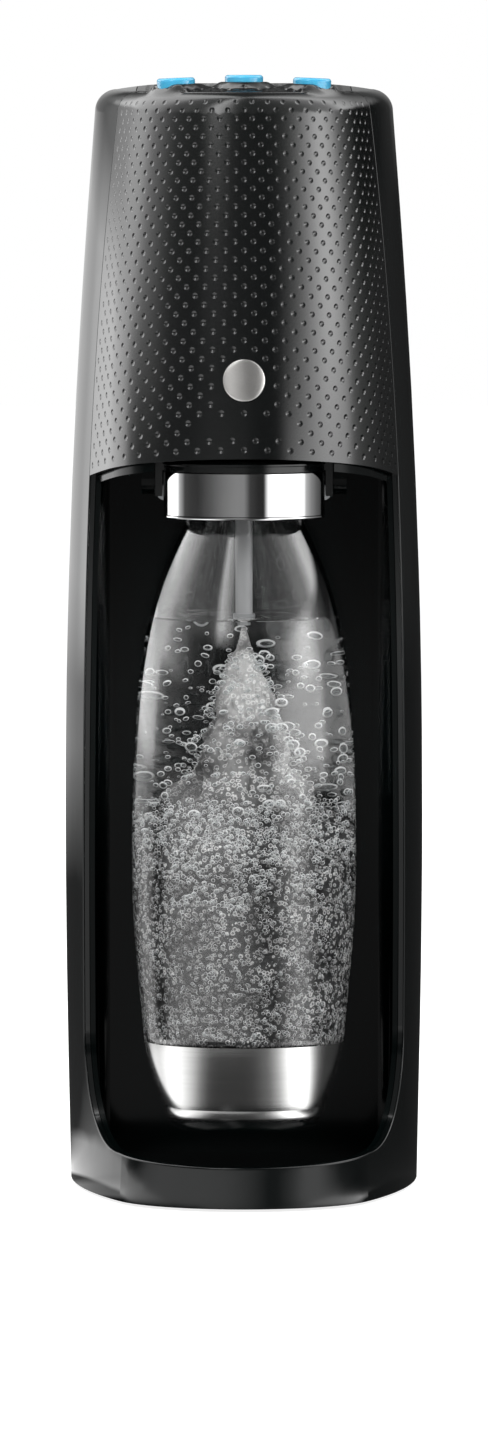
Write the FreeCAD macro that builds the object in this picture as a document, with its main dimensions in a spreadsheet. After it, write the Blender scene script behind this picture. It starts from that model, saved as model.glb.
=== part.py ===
"""Home soda carbonator: a slim tower with a snap-in bottle, a tilting collar and a gas cylinder.

Millimetres.  X is to the right, Y to the back and Z up; the origin is the middle of the footprint,
on the surface that the feet stand on, and the front faces -Y.
"""
import FreeCAD, Part

import math
import os
import re

import Sketcher
from FreeCAD import Placement, Rotation, Vector

SIZES = {
    # tower: five level sections, from the foot to the start of the rounded top edge
    "foot_level": 0, "belly_level": 150, "chin_level": 275, "brow_level": 340, "edge_level": 405,
    "foot_half": 65.7, "belly_half": 67.7, "chin_half": 64.7, "brow_half": 61.1, "edge_half": 56.4,
    "foot_front": 95.06, "belly_front": 86.4, "chin_front": 78.2, "brow_front": 73.6, "edge_front": 68.4,
    "foot_nose": 49.5, "belly_nose": 51.7, "chin_nose": 53.6, "brow_nose": 50.9, "edge_nose": 44.6,
    "tower_back": 95, "widest_back": 44, "back_corner": 42, "edge_round": 8.3, "crown_rise": 2.2,
    "crown_inset": 34, "skin": 2.3, "seam": 0.35, "shell_low": 1.2,
    # recess that holds the bottle
    "edge_low_front": 16, "edge_corner": 44, "band_height": 15.9, "band_slope": 0.078,
    "recess_back": 8, "recess_floor": 13, "liner_wall": 1.8, "recess_half": 57.5, "recess_corner": 7,
    "liner_screw_across": 30, "liner_screw_low": 60, "liner_screw_high": 262,
    "liner_top": 280.6, "skirt_drop": 3.4, "ceiling_low": 281, "ceiling_thick": 2,
    "pilaster_across": 46.5, "pilaster_width": 3, "pilaster_low": 170,
    # head cover
    "head_low_front": 277.7, "head_low_slope": 0.1374, "seam_front": 17.6, "seam_level": 270,
    "seam_lean": 0.0348,
    "head_panel_half": 40, "head_panel_back": 58, "badge_level": 306.7, "badge_radius": 7.8,
    # buttons
    "button_step": 25, "button_front": 45, "button_radius": 7.1, "button_top": 419.2, "button_hole": 7.35,
    "boss_low": 11.5, "boss_high": 8, "boss_rise": 0.9, "button_tilt": 2.4, "side_drop": 1.1,
    "cap_tall": 8.1, "flange_radius": 7.7, "flange_thick": 1.3, "stem_radius": 3.5, "stem_low": 401,
    "button_frame_low": 400, "button_frame_thick": 3, "board_low": 394.4, "board_thick": 1.6,
    "post_across": 12.5, "post_front": 38, "switch_top": 399.1,
    # collar, pivot and nozzle
    "bottle_front": 45, "collar_radius": 30, "collar_low": 255, "collar_top": 272.3, "collar_wall": 1.6,
    "pivot_front": 8, "pivot_level": 268, "pin_radius": 2.5, "running_gap": 0.06, "arm_in": 30.4,
    "arm_out": 33, "lug_in": 33.4, "lug_out": 38.4, "lug_radius": 6,
    "nozzle_radius": 3.2, "nozzle_low": 219, "nozzle_top": 292, "tip_radius": 4.1, "tip_low": 213,
    "hose_radius": 2.5, "hose_across": 14, "pipe_radius": 2.2, "hose_level": 380, "hose_bend": 18,
    "union_top": 286,
    # bottle
    "neck_radius": 15.6, "neck_top": 283.2, "bottle_wall": 1.1, "bottle_low": 27, "cup_top": 59.7,
    "cup_wall": 0.9, "water_level": 218, "fizz_top": 212, "fizz_low": 116,
    # gas column
    "gas_back": 50, "gas_radius": 30, "gas_wall": 3.2, "gas_low": 30, "gas_shoulder": 318,
    "valve_radius": 10.6, "valve_low": 346, "valve_top": 385.5, "shelf_level": 370.5, "shelf_thick": 3,
    "block_top": 392,
    "block_seat_top": 386.2, "shelf_low": 318, "foot_top": 7.5,
    # drive
    "cam_front": 8, "cam_level": 390, "cam_radius": 7, "cam_rise": 1.4, "tooth_module": 0.6,
    "gear_teeth": 48, "pinion_teeth": 12, "motor_radius": 12, "motor_length": 26,
    "mesh_gap": 0.05, "cam_half": 3, "gear_near": 5, "gear_far": 9, "shaft_radius": 2,
    "lever_low": 397.3, "lever_thick": 4, "lever_pivot_back": 20, "pusher_low": 387.4,
    # rear cover
    "cover_front": 62, "cover_low": 20, "cover_top": 398, "hinge_back": 90.2, "hinge_level": 22.3,
    "hinge_pin": 1.2, "hinge_across": 16, "latch_half": 11, "latch_low": 378, "latch_tall": 12,
    "latch_travel": 2.5,
    "latch_spring_low": 366, "latch_spring_high": 374, "latch_spring_back": 88.6,
    "socket_radius": 5.2, "socket_bore": 3.1, "socket_across": 25, "socket_level": 10,
    # foot
    "foot_radius": 8, "foot_across_ahead": 33, "foot_ahead": 58, "foot_across_behind": 44,
    "foot_behind": 70, "foot_screw_across": 26, "foot_screw_ahead": 30, "foot_screw_behind": 66,
    "plate_low": 2,
    "plate_thick": 2.5,
}

doc = FreeCAD.newDocument("SodaCarbonator")
sheet = doc.addObject("Spreadsheet::Sheet", "Sizes")
for row, (alias, value) in enumerate(SIZES.items(), start=1):
    sheet.set("A%d" % row, alias)
    sheet.set("B%d" % row, str(value))
    sheet.setAlias("B%d" % row, alias)
doc.recompute()

NODES = []
ALIAS = re.compile(r"[a-z][a-z_]*")


def size(alias):
    """The number in the sheet's cell."""
    return float(getattr(sheet, alias))


def linked(text):
    """An expression with each alias written as a cell of the sheet."""
    return ALIAS.sub(lambda word: "Sizes." * (word.group() in SIZES) + word.group(), str(text))


def bind(thing, **sizes):
    """Bind properties to expressions of the sheet's cells."""
    for name, text in sizes.items():
        thing.setExpression(name, linked(text))
    return thing


def put(thing, at, turn=None):
    """Place a document object: its position is bound to the sheet, and its turn is a Rotation."""
    if turn is not None:
        thing.Placement = Placement(Vector(), turn)
    for axis, text in zip("xyz", at):
        thing.setExpression(".Placement.Base." + axis, linked(text))
    return thing


def node(thing, label):
    """Mark a document object as a sub-part, which has a file of its own."""
    thing.Label = label
    NODES.append(thing)
    return thing


# ---------------------------------------------------------------- primitives and booleans

ALONG_X = Rotation(Vector(0, 1, 0), 90)
ALONG_Y = Rotation(Vector(1, 0, 0), -90)


def block(name, low, high):
    """A box between two corners, each given as three expressions."""
    thing = doc.addObject("Part::Box", name)
    for side, start, end in zip(("Length", "Width", "Height"), low, high):
        thing.setExpression(side, linked("(%s) - (%s)" % (end, start)))
    return put(thing, low)


def rod(name, radius, length, at, turn=None):
    """A cylinder from a point, up the Z axis unless it is turned."""
    thing = bind(doc.addObject("Part::Cylinder", name), Radius=radius, Height=length)
    return put(thing, at, turn)


def joined(name, pieces):
    """The union of several objects."""
    thing = doc.addObject("Part::MultiFuse", name)
    thing.Shapes = pieces
    return thing


def less(name, base, tools):
    """An object with others taken away."""
    thing = doc.addObject("Part::Cut", name)
    thing.Base = base
    thing.Tool = tools[0] if len(tools) == 1 else joined(name + "Tools", tools)
    return thing


def fixed(name, shape):
    """An object whose shape is made with Part's own functions."""
    thing = doc.addObject("Part::Feature", name)
    thing.Shape = shape
    return thing


# ---------------------------------------------------------------- sketched bodies

def origin_plane(body, role):
    """The body's own origin plane."""
    return next(plane for plane in body.Origin.OriginFeatures if plane.Role == role)


def sketched(body, role, outline):
    """A closed outline of straight lines, with each corner bound to two expressions."""
    sketch = body.newObject("Sketcher::SketchObject", body.Name + "Sketch")
    sketch.AttachmentSupport = [(origin_plane(body, role), "")]
    sketch.MapMode = "FlatFace"
    corners = [Vector(*[evaluated(text) for text in point], 0) for point in outline]
    for start, end in zip(corners, corners[1:] + corners[:1]):
        sketch.addGeometry(Part.LineSegment(start, end), False)
    count = len(corners)
    for index, (corner, texts) in enumerate(zip(corners, outline)):
        sketch.addConstraint(Sketcher.Constraint("Coincident", index, 2, (index + 1) % count, 1))
        for kind, value, text in zip(("DistanceX", "DistanceY"), (corner.x, corner.y), texts):
            number = sketch.addConstraint(Sketcher.Constraint(kind, -1, 1, index, 1, value))
            sketch.setExpression("Constraints[%d]" % number, linked(text))
    return sketch


def evaluated(text):
    """The value of an expression of aliases, for the sketch's first drawing."""
    return float(sheet.evalExpression(linked(text)))


def turned(name, outline, at=("0", "0", "0")):
    """A body turned about a vertical axis: the outline is pairs of radius and height."""
    body = doc.addObject("PartDesign::Body", name)
    sketch = sketched(body, "XZ_Plane", outline)
    spin = body.newObject("PartDesign::Revolution", name + "Turn")
    spin.Profile = sketch
    spin.ReferenceAxis = (sketch, ["V_Axis"])
    spin.Angle = 360
    body.Tip = spin
    return put(body, at)


def padded(name, role, outline, length, at=("0", "0", "0")):
    """A body padded from an origin plane, half to each side."""
    body = doc.addObject("PartDesign::Body", name)
    pad = body.newObject("PartDesign::Pad", name + "Pad")
    pad.Profile = sketched(body, role, outline)
    pad.SideType = "Symmetric"
    pad.setExpression("Length", linked(length))
    body.Tip = pad
    return put(body, at)


def rounded(body, radius, chosen):
    """Fillet the edges that the test picks from the body's last feature."""
    doc.recompute()
    base = body.Tip
    names = ["Edge%d" % (i + 1) for i, edge in enumerate(base.Shape.Edges) if chosen(edge)]
    fillet = body.newObject("PartDesign::Fillet", body.Name + "Round")
    fillet.Base = (base, names)
    fillet.Radius = radius
    body.Tip = fillet
    return body


# ---------------------------------------------------------------- the tower's outer form

STATIONS = ("foot", "belly", "chin", "brow", "edge")
MIRROR = Placement(Vector(), Rotation(Vector(0, 1, 0), 180))


def station(name, inset):
    """Half width, front and nose radius of one level section, moved inwards."""
    half, front, nose = (size(name + part) - inset for part in ("_half", "_front", "_nose"))
    return half, -front, nose


def plan_wire(half, front, nose, inset, level):
    """An egg-shaped plan: a round nose, two long flank arcs, two back corners and a flat back."""
    back, corner, widest = size("tower_back") - inset, size("back_corner") - inset, size("widest_back")
    nose_back = front + nose
    reach = widest - nose_back
    flank = (half ** 2 + reach ** 2 - nose ** 2) / (2 * (half - nose))
    centre = Vector(half - flank, widest, 0)
    nose_centre = Vector(0, nose_back, 0)
    touch = centre + (nose_centre - centre).normalize() * flank
    turn = math.atan2(touch.y - widest, touch.x - centre.x)
    middle = centre + Vector(math.cos(turn / 2), math.sin(turn / 2), 0) * flank
    wide = Vector(half, widest, 0)
    side = Vector(half, back - corner, 0)
    bulge = Vector(half - corner, back - corner, 0) + Vector(1, 1, 0).normalize() * corner
    rear = Vector(half - corner, back, 0)

    def other(point):
        return Vector(-point.x, point.y, 0)

    edges = [
        Part.Arc(other(touch), Vector(0, front, 0), touch),
        Part.Arc(touch, middle, wide),
        Part.LineSegment(wide, side),
        Part.Arc(side, bulge, rear),
        Part.LineSegment(rear, other(rear)),
        Part.Arc(other(rear), other(bulge), other(side)),
        Part.LineSegment(other(side), other(wide)),
        Part.Arc(other(wide), other(middle), other(touch)),
    ]
    wire = Part.Wire([edge.toShape() for edge in edges])
    wire.translate(Vector(0, 0, level))
    return wire


def tower(inset):
    """The tower's solid form, moved inwards: sides, rounded top edge and crowned top."""
    sides = [plan_wire(*station(name, inset), inset, size(name + "_level")) for name in STATIONS]
    half, front, nose = station("edge", 0)
    level, round_off = size("edge_level"), size("edge_round")

    def top_wire(deeper, height):
        return plan_wire(half - deeper, front + deeper, nose - deeper, deeper, height)

    turns = [math.radians(15 * step) for step in range(7)]
    radius = round_off - inset
    shoulder = [top_wire(inset + radius * (1 - math.cos(turn)), level + radius * math.sin(turn))
                for turn in turns]
    span = size("crown_inset") - round_off
    crown = [top_wire(round_off + span * part, level + radius + size("crown_rise") * (1 - (1 - part) ** 2))
             for part in (0, 0.3, 0.65, 1)]
    form = Part.makeLoft(sides, True, False)
    for wires in (shoulder, crown):
        form = form.fuse(Part.makeLoft(wires, True, False))
    return form


def slab(low, high):
    """A plain box between two corners."""
    spans = [end - start for start, end in zip(low, high)]
    return Part.makeBox(*spans, Vector(*low))


def side_prism(points, half=90):
    """A polygon in the YZ plane, extruded to both sides; a point with four numbers ends an arc."""
    edges = []
    for before, after in zip(points, points[1:] + points[:1]):
        start, end = Vector(-half, *before[:2]), Vector(-half, *after[:2])
        if len(after) == 4:
            edges.append(Part.Arc(start, Vector(-half, *after[2:]), end))
        else:
            edges.append(Part.LineSegment(start, end))
    return Part.Face(Part.Wire([edge.toShape() for edge in edges])).extrude(Vector(2 * half, 0, 0))


def seam_front(level):
    """Where the head cover meets the outer shell, seen from the side."""
    return -size("seam_front") - size("seam_lean") * (level - size("seam_level"))


def head_low(front):
    """The level of the head cover's lower edge, which falls towards the back."""
    return size("head_low_front") - size("head_low_slope") * (front + size("chin_front"))


def recess_cut(gap=0):
    """Everything in front of the outer shell's long edge: head, recess and the air before them."""
    far, high = -150, 440
    radius = size("edge_corner")
    low_front = -size("edge_low_front")
    centre = Vector(0, low_front - radius, 0)

    def band_top(front):
        return size("band_height") + size("band_slope") * (front + size("foot_front"))

    centre.z = band_top(centre.y) + radius
    half_turn = math.radians(-45)
    middle = (centre.y + radius * math.cos(half_turn), centre.z + radius * math.sin(half_turn))
    points = [
        (far, high),
        (far, band_top(far)),
        (centre.y, centre.z - radius),
        (low_front, centre.z) + middle,
        (seam_front(size("seam_level")), size("seam_level")),
        (seam_front(high), high),
    ]
    solid = side_prism(points)
    solid.translate(Vector(0, gap, 0))
    return solid


def head_zone(gap=0):
    """The space of the head cover: in front of the seam, above its lower edge, and the top panel."""
    far, high = -150, 440
    front = side_prism([
        (far, high),
        (far, head_low(far) - gap),
        (seam_front(size("seam_level")) + gap, head_low(seam_front(size("seam_level"))) - gap),
        (seam_front(high) + gap, high),
    ])
    half, back = size("head_panel_half") + gap, size("head_panel_back") + gap
    return front.fuse(slab((-half, -40, size("edge_level") + 2), (half, back, high)))


def rear_zone(gap=0):
    """The space of the removable rear cover."""
    low, high = size("cover_low") - 4.6 * gap, size("cover_top") + 2 * gap
    return slab((-90, size("cover_front") - gap, low), (90, 110, high))


OUTER = tower(0)
INNER = tower(size("skin"))
SKIN = OUTER.cut(INNER)


BUTTONS = [("left", -1), ("middle", 0), ("right", 1)]


def button_spots():
    """The middle of each button on the top."""
    return [(side * size("button_step"), -size("button_front")) for _, side in BUTTONS]


def cap_level(side):
    """An expression for the height of a cap's flange: the outer caps sit a little lower."""
    return "button_top - cap_tall" if side == 0 else "button_top - cap_tall - side_drop"


def button_bore(side, radius, above, below):
    """A cylinder round a button's own, possibly tilted, axis, from above its flange to below it."""
    flange = Vector(side * size("button_step"), -size("button_front"), evaluated(cap_level(side)))
    down = Rotation(Vector(0, 1, 0), side * size("button_tilt")).multVec(Vector(0, 0, -1))
    return Part.makeCylinder(radius, above + below, flange - down * above, down)


def outer_shell():
    """The smooth one-piece shell: both sides, the front band of the base and the back of the top."""
    shell = SKIN.common(slab((-90, -120, size("shell_low")), (90, 120, 440)))
    shell = shell.cut(recess_cut()).cut(rear_zone(size("seam")))
    half, back = size("head_panel_half") + size("seam"), size("head_panel_back") + size("seam")
    shell = shell.cut(slab((-half, -40, size("edge_level") + 2), (half, back, 440)))
    socket = Part.makeCylinder(size("socket_radius") + 0.1, 40,
                               Vector(size("socket_across"), 70, size("socket_level")), Vector(0, 1, 0))
    return node(fixed("OuterShell", shell.cut(socket)), "outer_shell")


def head_cover():
    """The front and the top in one: three button holes with low bosses, and a seat for the badge."""
    cover = SKIN.common(head_zone())
    raised = tower(-size("boss_rise"))
    for across, front in button_spots():
        top = crown_height(across, front)
        boss = Part.makeCone(size("boss_low"), size("boss_high"), 4 + size("boss_rise"),
                             Vector(across, front, top - 4))
        cover = cover.fuse(boss.common(raised).cut(INNER))
    for _, side in BUTTONS:
        cover = cover.cut(button_bore(side, size("button_hole"), 20, 10))
        cover = cover.cut(button_bore(side, size("flange_radius") + 0.4, 0.5, 10))
    cover = cover.cut(badge_rod(0.1).cut(tower(1.2)))
    return node(fixed("HeadCover", cover), "head_cover")


def crown_height(across, front):
    """The height of the crowned top over a point."""
    line = Part.makeLine(Vector(across, front, 390), Vector(across, front, 440))
    return OUTER.common(line).BoundBox.ZMax


def badge_rod(gap):
    """A long cylinder on the badge's axis, wider than the badge by a gap."""
    return Part.makeCylinder(size("badge_radius") + gap, 60, Vector(0, -110, size("badge_level")),
                             Vector(0, 1, 0))


def badge_disc():
    """A plain round disc, let into the front and following its curve."""
    disc = badge_rod(0).common(tower(-0.5)).cut(tower(1.2))
    return node(fixed("BadgeDisc", disc), "badge_disc")


def rear_cover():
    """The removable rear cover: a wide U-shaped panel with two hinge knuckles inside its lower edge."""
    cover = SKIN.common(rear_zone())
    edge = size("tower_back")
    bevel = side_prism([(edge - 1.6, size("cover_low") - 0.1), (edge + 1, size("cover_low") - 0.1),
                        (edge + 1, size("cover_low") + 2.4)])
    cover = cover.cut(bevel)
    back, level, pin = size("hinge_back"), size("hinge_level"), size("hinge_pin")
    for side in (-1, 1):
        start = Vector(side * size("hinge_across") - 4, back, level)
        cover = cover.fuse(Part.makeCylinder(2.3, 8, start, Vector(1, 0, 0)))
        cover = cover.cut(Part.makeCylinder(pin + 0.1, 12, start - Vector(2, 0, 0), Vector(1, 0, 0)))
    ledge = slab((-5, size("latch_spring_back") - 3, size("latch_spring_low") - 2),
                 (5, size("tower_back") - 1, size("latch_spring_low")))
    slot = slab((-size("latch_half") - 0.3, 80, size("latch_low") - size("latch_travel") - 0.3),
                (size("latch_half") + 0.3, 100, size("latch_low") + size("latch_tall") + 0.3))
    return node(fixed("RearCover", cover.fuse(ledge).cut(slot)), "rear_cover")


def recess_liner():
    """The glossy recess behind the bottle: side walls, back wall, floor and two pilasters."""
    top, floor, wall = size("liner_top"), size("recess_floor"), size("liner_wall")
    back = size("recess_back")
    gap = 0.25
    body = tower(size("skin") + gap).common(slab((-90, -120, floor - wall), (90, back + wall, top)))
    behind = OUTER.common(slab((-90, -120, 0), (90, 120, 440))).cut(recess_cut())
    walls = body.cut(tower(size("skin") + gap + wall)).common(behind)
    half, corner = size("recess_half"), size("recess_corner")
    mouth, side = Vector(-half, -130, floor), Vector(-half, back - corner, floor)
    bend = Vector(-half + corner, back - corner, floor) + Vector(-1, 1, 0).normalize() * corner
    rear = Vector(-half + corner, back, floor)

    def other(point):
        return Vector(-point.x, point.y, point.z)

    edges = [Part.LineSegment(mouth, side), Part.Arc(side, bend, rear),
             Part.LineSegment(rear, other(rear)), Part.Arc(other(rear), other(bend), other(side)),
             Part.LineSegment(other(side), other(mouth)), Part.LineSegment(other(mouth), mouth)]
    hollow = Part.Face(Part.Wire([edge.toShape() for edge in edges])).extrude(Vector(0, 0, 400))
    core = tower(size("skin") + gap + wall - 0.01)
    rear_wall = core.common(slab((-90, -14, floor - wall), (90, back + wall, top))).cut(hollow)
    floor_plate = core.common(slab((-90, -120, floor - wall), (90, back + wall, floor)))
    liner = walls.fuse([rear_wall, floor_plate])
    for place in (-1, 1):
        middle = place * size("pilaster_across")
        width = size("pilaster_width") / 2
        rib = slab((middle - width, back - 1, size("pilaster_low")), (middle + width, back + 0.5, top))
        liner = liner.fuse(rib)
    for across, level in liner_screw_places():
        liner = liner.cut(Part.makeCylinder(1.7, 12, Vector(across, back - 4, level), Vector(0, 1, 0)))
    return node(fixed("RecessLiner", liner.removeSplitter()), "recess_liner")


def liner_screw_places():
    """Where the four screws hold the liner to the chassis: across and up."""
    across = size("liner_screw_across")
    return [(side * across, size(level)) for side in (-1, 1)
            for level in ("liner_screw_low", "liner_screw_high")]


def head_underside():
    """The ceiling of the recess: a plate with a wide slot for the collar, side skirts and two lugs."""
    low, thick = size("ceiling_low"), size("ceiling_thick")
    gap = 0.25
    form = tower(size("skin") + gap)
    front_only = slab((-90, -120, 200), (90, size("recess_back"), 400))
    plate = form.common(slab((-90, -120, low), (90, size("recess_back"), low + thick)))
    slot = slab((-size("lug_in"), -120, low - 1), (size("lug_in"), -2.2, low + thick + 1))
    pipe_way = slab((-7, -10, low - 1), (3, 1.5, low + thick + 1))
    plate = plate.cut(slot).cut(pipe_way)
    skirt = form.cut(tower(size("skin") + gap + 1.6)).common(head_zone(size("skirt_drop")))
    skirt = skirt.common(slab((-90, -120, 200), (90, seam_front(size("seam_level")) - 1, low + 0.5)))
    skirt = skirt.cut(slab((-size("lug_in"), -120, 200), (size("lug_in"), 0, 400)))
    solid = plate.fuse(skirt.common(front_only))
    back, level = -size("pivot_front"), size("pivot_level")
    radius = size("lug_radius")
    for side in (-1, 1):
        start, end = sorted((side * size("lug_in"), side * size("lug_out")))
        lug = slab((start, back - radius, level), (end, back + radius, low + 0.5))
        lug = lug.fuse(Part.makeCylinder(radius, end - start, Vector(start, back, level), Vector(1, 0, 0)))
        bore = Part.makeCylinder(size("pin_radius"), 20, Vector(start - 6, back, level), Vector(1, 0, 0))
        solid = solid.fuse(lug).cut(bore)
    return node(fixed("HeadUnderside", solid), "head_underside")


# ---------------------------------------------------------------- foot

def foot_places():
    """The four corners where a rubber foot sits."""
    ahead, behind = size("foot_across_ahead"), size("foot_across_behind")
    corners = []
    for side in (-1, 1):
        corners += [(side * ahead, -size("foot_ahead")), (side * behind, size("foot_behind"))]
    return corners


def base_plate():
    """The closing plate of the foot, with a seat for each rubber foot."""
    low, thick = size("plate_low"), size("plate_thick")
    plate = tower(size("skin") + 0.3).common(slab((-90, -120, low), (90, 120, low + thick)))
    for across, front in foot_places():
        plate = plate.cut(Part.makeCylinder(2.6, 10, Vector(across, front, 0)))
    for across, front in screw_places():
        plate = plate.cut(Part.makeCylinder(1.6, 10, Vector(across, front, 0)))
    back, level, across = size("hinge_back"), size("hinge_level"), size("hinge_across")
    for start in (-across + 4.6, across - 8):
        lug = slab((start, back - 3.4, low + thick - 0.5), (start + 3.4, back + 0.1, level + 1))
        eye = Part.makeCylinder(2.2, 3.4, Vector(start, back, level), Vector(1, 0, 0))
        bore = Part.makeCylinder(size("hinge_pin"), 9, Vector(start - 2, back, level), Vector(1, 0, 0))
        plate = plate.fuse([lug, eye]).cut(bore)
    return node(fixed("BasePlate", plate), "base_plate")


def screw_places():
    """The four screws of the base plate."""
    across = size("foot_screw_across")
    return [(side * across, front) for side in (-1, 1)
            for front in (-size("foot_screw_ahead"), size("foot_screw_behind"))]


def rubber_feet():
    """Four round rubber feet, each with a peg through the base plate."""
    feet = []
    for number, (across, front) in enumerate(foot_places()):
        pad = rod("FootPad%d" % number, "foot_radius", "plate_low", (across, front, "0"))
        peg = rod("FootPeg%d" % number, "2.5", "plate_thick + 0.8", (across, front, "plate_low"))
        feet.append(joined("Foot%d" % number, [pad, peg]))
    return node(joined("RubberFeet", feet), "rubber_feet")


def base_screws():
    """Four pan-head screws under the base plate."""
    screws = []
    for number, (across, front) in enumerate(screw_places()):
        head = rod("ScrewHead%d" % number, "2.7", "1.4", (across, front, "plate_low - 1.4"))
        shank = rod("ScrewShank%d" % number, "1.5", "5", (across, front, "plate_low"))
        drive = rod("ScrewDrive%d" % number, "1.1", "0.8", (across, front, "plate_low - 1.4"))
        screws.append(less("Screw%d" % number, joined("ScrewBody%d" % number, [head, shank]), [drive]))
    return node(joined("BaseScrews", screws), "base_screws")


# ---------------------------------------------------------------- chassis

LEVER_AXIS = ("lever_pivot_back", "lever_low + lever_thick / 2")


def chassis_frame():
    """The spine behind the recess, with the shelves for the drive and for the gas valve."""
    plate_back = "recess_back + liner_wall + 1.7"
    front = "recess_back + liner_wall + 0.2"
    spine = block("Spine", ("-46", front, "plate_low + plate_thick"), ("46", plate_back, "396"))
    notch = block("SpineNotch", ("-23", "0", "356"), ("23", "30", "400"))
    drive_shelf = block("DriveShelf", ("-38", "-44", "shelf_low"),
                        ("38", plate_back, "shelf_low + shelf_thick"))
    hose_way = rod("HoseWay", "hose_radius + 1.5", "40",
                   ("-hose_across", "-pivot_front", "shelf_low - 10"))
    valve_shelf = block("ValveShelf", ("-46", front, "shelf_level"),
                        ("46", "72", "shelf_level + shelf_thick"))
    valve_way = rod("ValveWay", "valve_radius + 0.8", "20", ("0", "gas_back", "shelf_level - 5"))
    foot_shelf = block("FootShelf", ("-40", plate_back, "plate_low + plate_thick"),
                       ("40", "78", "foot_top"))
    cheeks = []
    for side, start, end in (("Left", "-6.4", "-3.4"), ("Right", "3.4", "6.4")):
        cheeks.append(block("LeverCheek" + side, (start, "15", "shelf_level"), (end, "25", "403.5")))
    pivot = rod("LeverPivotHole", "1.5", "20", ("-10", *LEVER_AXIS), ALONG_X)
    posts = []
    for side, across in (("Left", "-post_across"), ("Right", "post_across")):
        posts.append(rod("ButtonPost" + side, "2.4", "button_frame_low - shelf_low",
                         (across, "-post_front", "shelf_low")))
    holes = [rod("LinerScrewWay%d" % number, "1.2", "10", (across, "recess_back + 1", level), ALONG_Y)
             for number, (across, level) in enumerate(liner_screw_places())]
    solid = joined("ChassisSolid", [less("SpineOpen", spine, [notch]), drive_shelf, valve_shelf, foot_shelf,
                                    *cheeks, *posts])
    for number, (across, back) in enumerate(screw_places()):
        holes.append(rod("FootScrewWay%d" % number, "1.5", "10", (across, back, "0")))
    return node(less("ChassisFrame", solid, [hose_way, valve_way, pivot, *holes]), "chassis_frame")


def liner_screws():
    """Four screws that hold the recess liner to the chassis."""
    screws = []
    for number, (across, level) in enumerate(liner_screw_places()):
        head = rod("LinerHead%d" % number, "2.8", "1.2", (across, "recess_back - 1.25", level), ALONG_Y)
        shank = rod("LinerShank%d" % number, "1.15", "7.5", (across, "recess_back - 0.05", level), ALONG_Y)
        drive = rod("LinerDrive%d" % number, "1.2", "0.7", (across, "recess_back - 1.25", level), ALONG_Y)
        body = joined("LinerScrewBody%d" % number, [head, shank])
        screws.append(less("LinerScrew%d" % number, body, [drive]))
    return node(joined("LinerScrews", screws), "liner_screws")


def cylinder_cradle():
    """The round seat that centres the foot of the gas cylinder."""
    body = turned("CylinderCradle", [
        ("0", "foot_top"), ("gas_radius + 3", "foot_top"), ("gas_radius + 3", "gas_low + 16"),
        ("gas_radius + 0.8", "gas_low + 16"), ("gas_radius + 0.8", "gas_low - 9"), ("0", "gas_low - 9"),
    ], at=("0", "gas_back", "0"))
    return node(body, "cylinder_cradle")


# ---------------------------------------------------------------- gas cylinder and valve

def gas_cylinder():
    """The gas cylinder: a long round body with a thick wall, a domed foot, a shoulder and a neck."""
    body = turned("GasCylinder", [
        ("0", "gas_low + 4"), ("15", "gas_low + 3"), ("22", "gas_low"), ("27", "gas_low"),
        ("gas_radius", "gas_low + 5"), ("gas_radius", "gas_shoulder"), ("28.6", "gas_shoulder + 8"),
        ("24", "gas_shoulder + 16"), ("16.5", "gas_shoulder + 22"), ("12.4", "gas_shoulder + 24"),
        ("12.4", "valve_low"), ("5", "valve_low"), ("5", "gas_shoulder + 21"), ("15", "gas_shoulder + 18"),
        ("24.6", "gas_shoulder + 8"), ("gas_radius - gas_wall", "gas_shoulder"),
        ("gas_radius - gas_wall", "gas_low + 10"), ("21", "gas_low + 7"), ("0", "gas_low + 8"),
    ], at=("0", "gas_back", "0"))
    return node(body, "gas_cylinder")


def cylinder_valve():
    """The brass valve on the cylinder: a turned body with a bore for its pin."""
    body = turned("CylinderValve", [
        ("0", "valve_low"), ("12", "valve_low"), ("12", "valve_low + 10"), ("9", "valve_low + 12"),
        ("9", "valve_low + 17"), ("valve_radius", "valve_low + 19"), ("valve_radius", "valve_top - 1.5"),
        ("valve_radius - 1.5", "valve_top"), ("1.3", "valve_top"), ("1.3", "valve_top - 12"),
        ("0", "valve_top - 12"),
    ], at=("0", "gas_back", "0"))
    return node(body, "cylinder_valve")


def valve_pin():
    """The pin in the cylinder's valve, which lets gas out when it is pressed."""
    pin = rod("ValvePin", "1.2", "pusher_low - 0.3 - (valve_top - 9)", ("0", "gas_back", "valve_top - 9"))
    return node(pin, "valve_pin")


def valve_block():
    """The block that the cylinder's valve plugs into, with an outlet at the front."""
    body = block("BlockBody", ("-17", "gas_back - 17", "shelf_level + shelf_thick"),
                 ("17", "gas_back + 17", "block_top"))
    seat = rod("BlockSeat", "valve_radius + 0.6", "block_seat_top - shelf_level",
               ("0", "gas_back", "shelf_level"))
    guide = rod("BlockGuide", "2.06", "20", ("0", "gas_back", "shelf_level + 10"))
    outlet = rod("BlockOutlet", "3.6", "7", ("-hose_across", "gas_back - 23.8", "hose_level"), ALONG_Y)
    solid = joined("BlockSolid", [body, outlet])
    return node(less("ValveBlock", solid, [seat, guide]), "valve_block")


def relief_valve():
    """The small brass safety valve beside the valve block."""
    body = turned("ReliefValve", [
        ("0", "block_top"), ("3.5", "block_top"), ("3.5", "block_top + 3"), ("2.4", "block_top + 3.5"),
        ("2.4", "block_top + 8"), ("0", "block_top + 8"),
    ], at=("10.5", "gas_back + 10", "0"))
    return node(body, "relief_valve")


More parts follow.
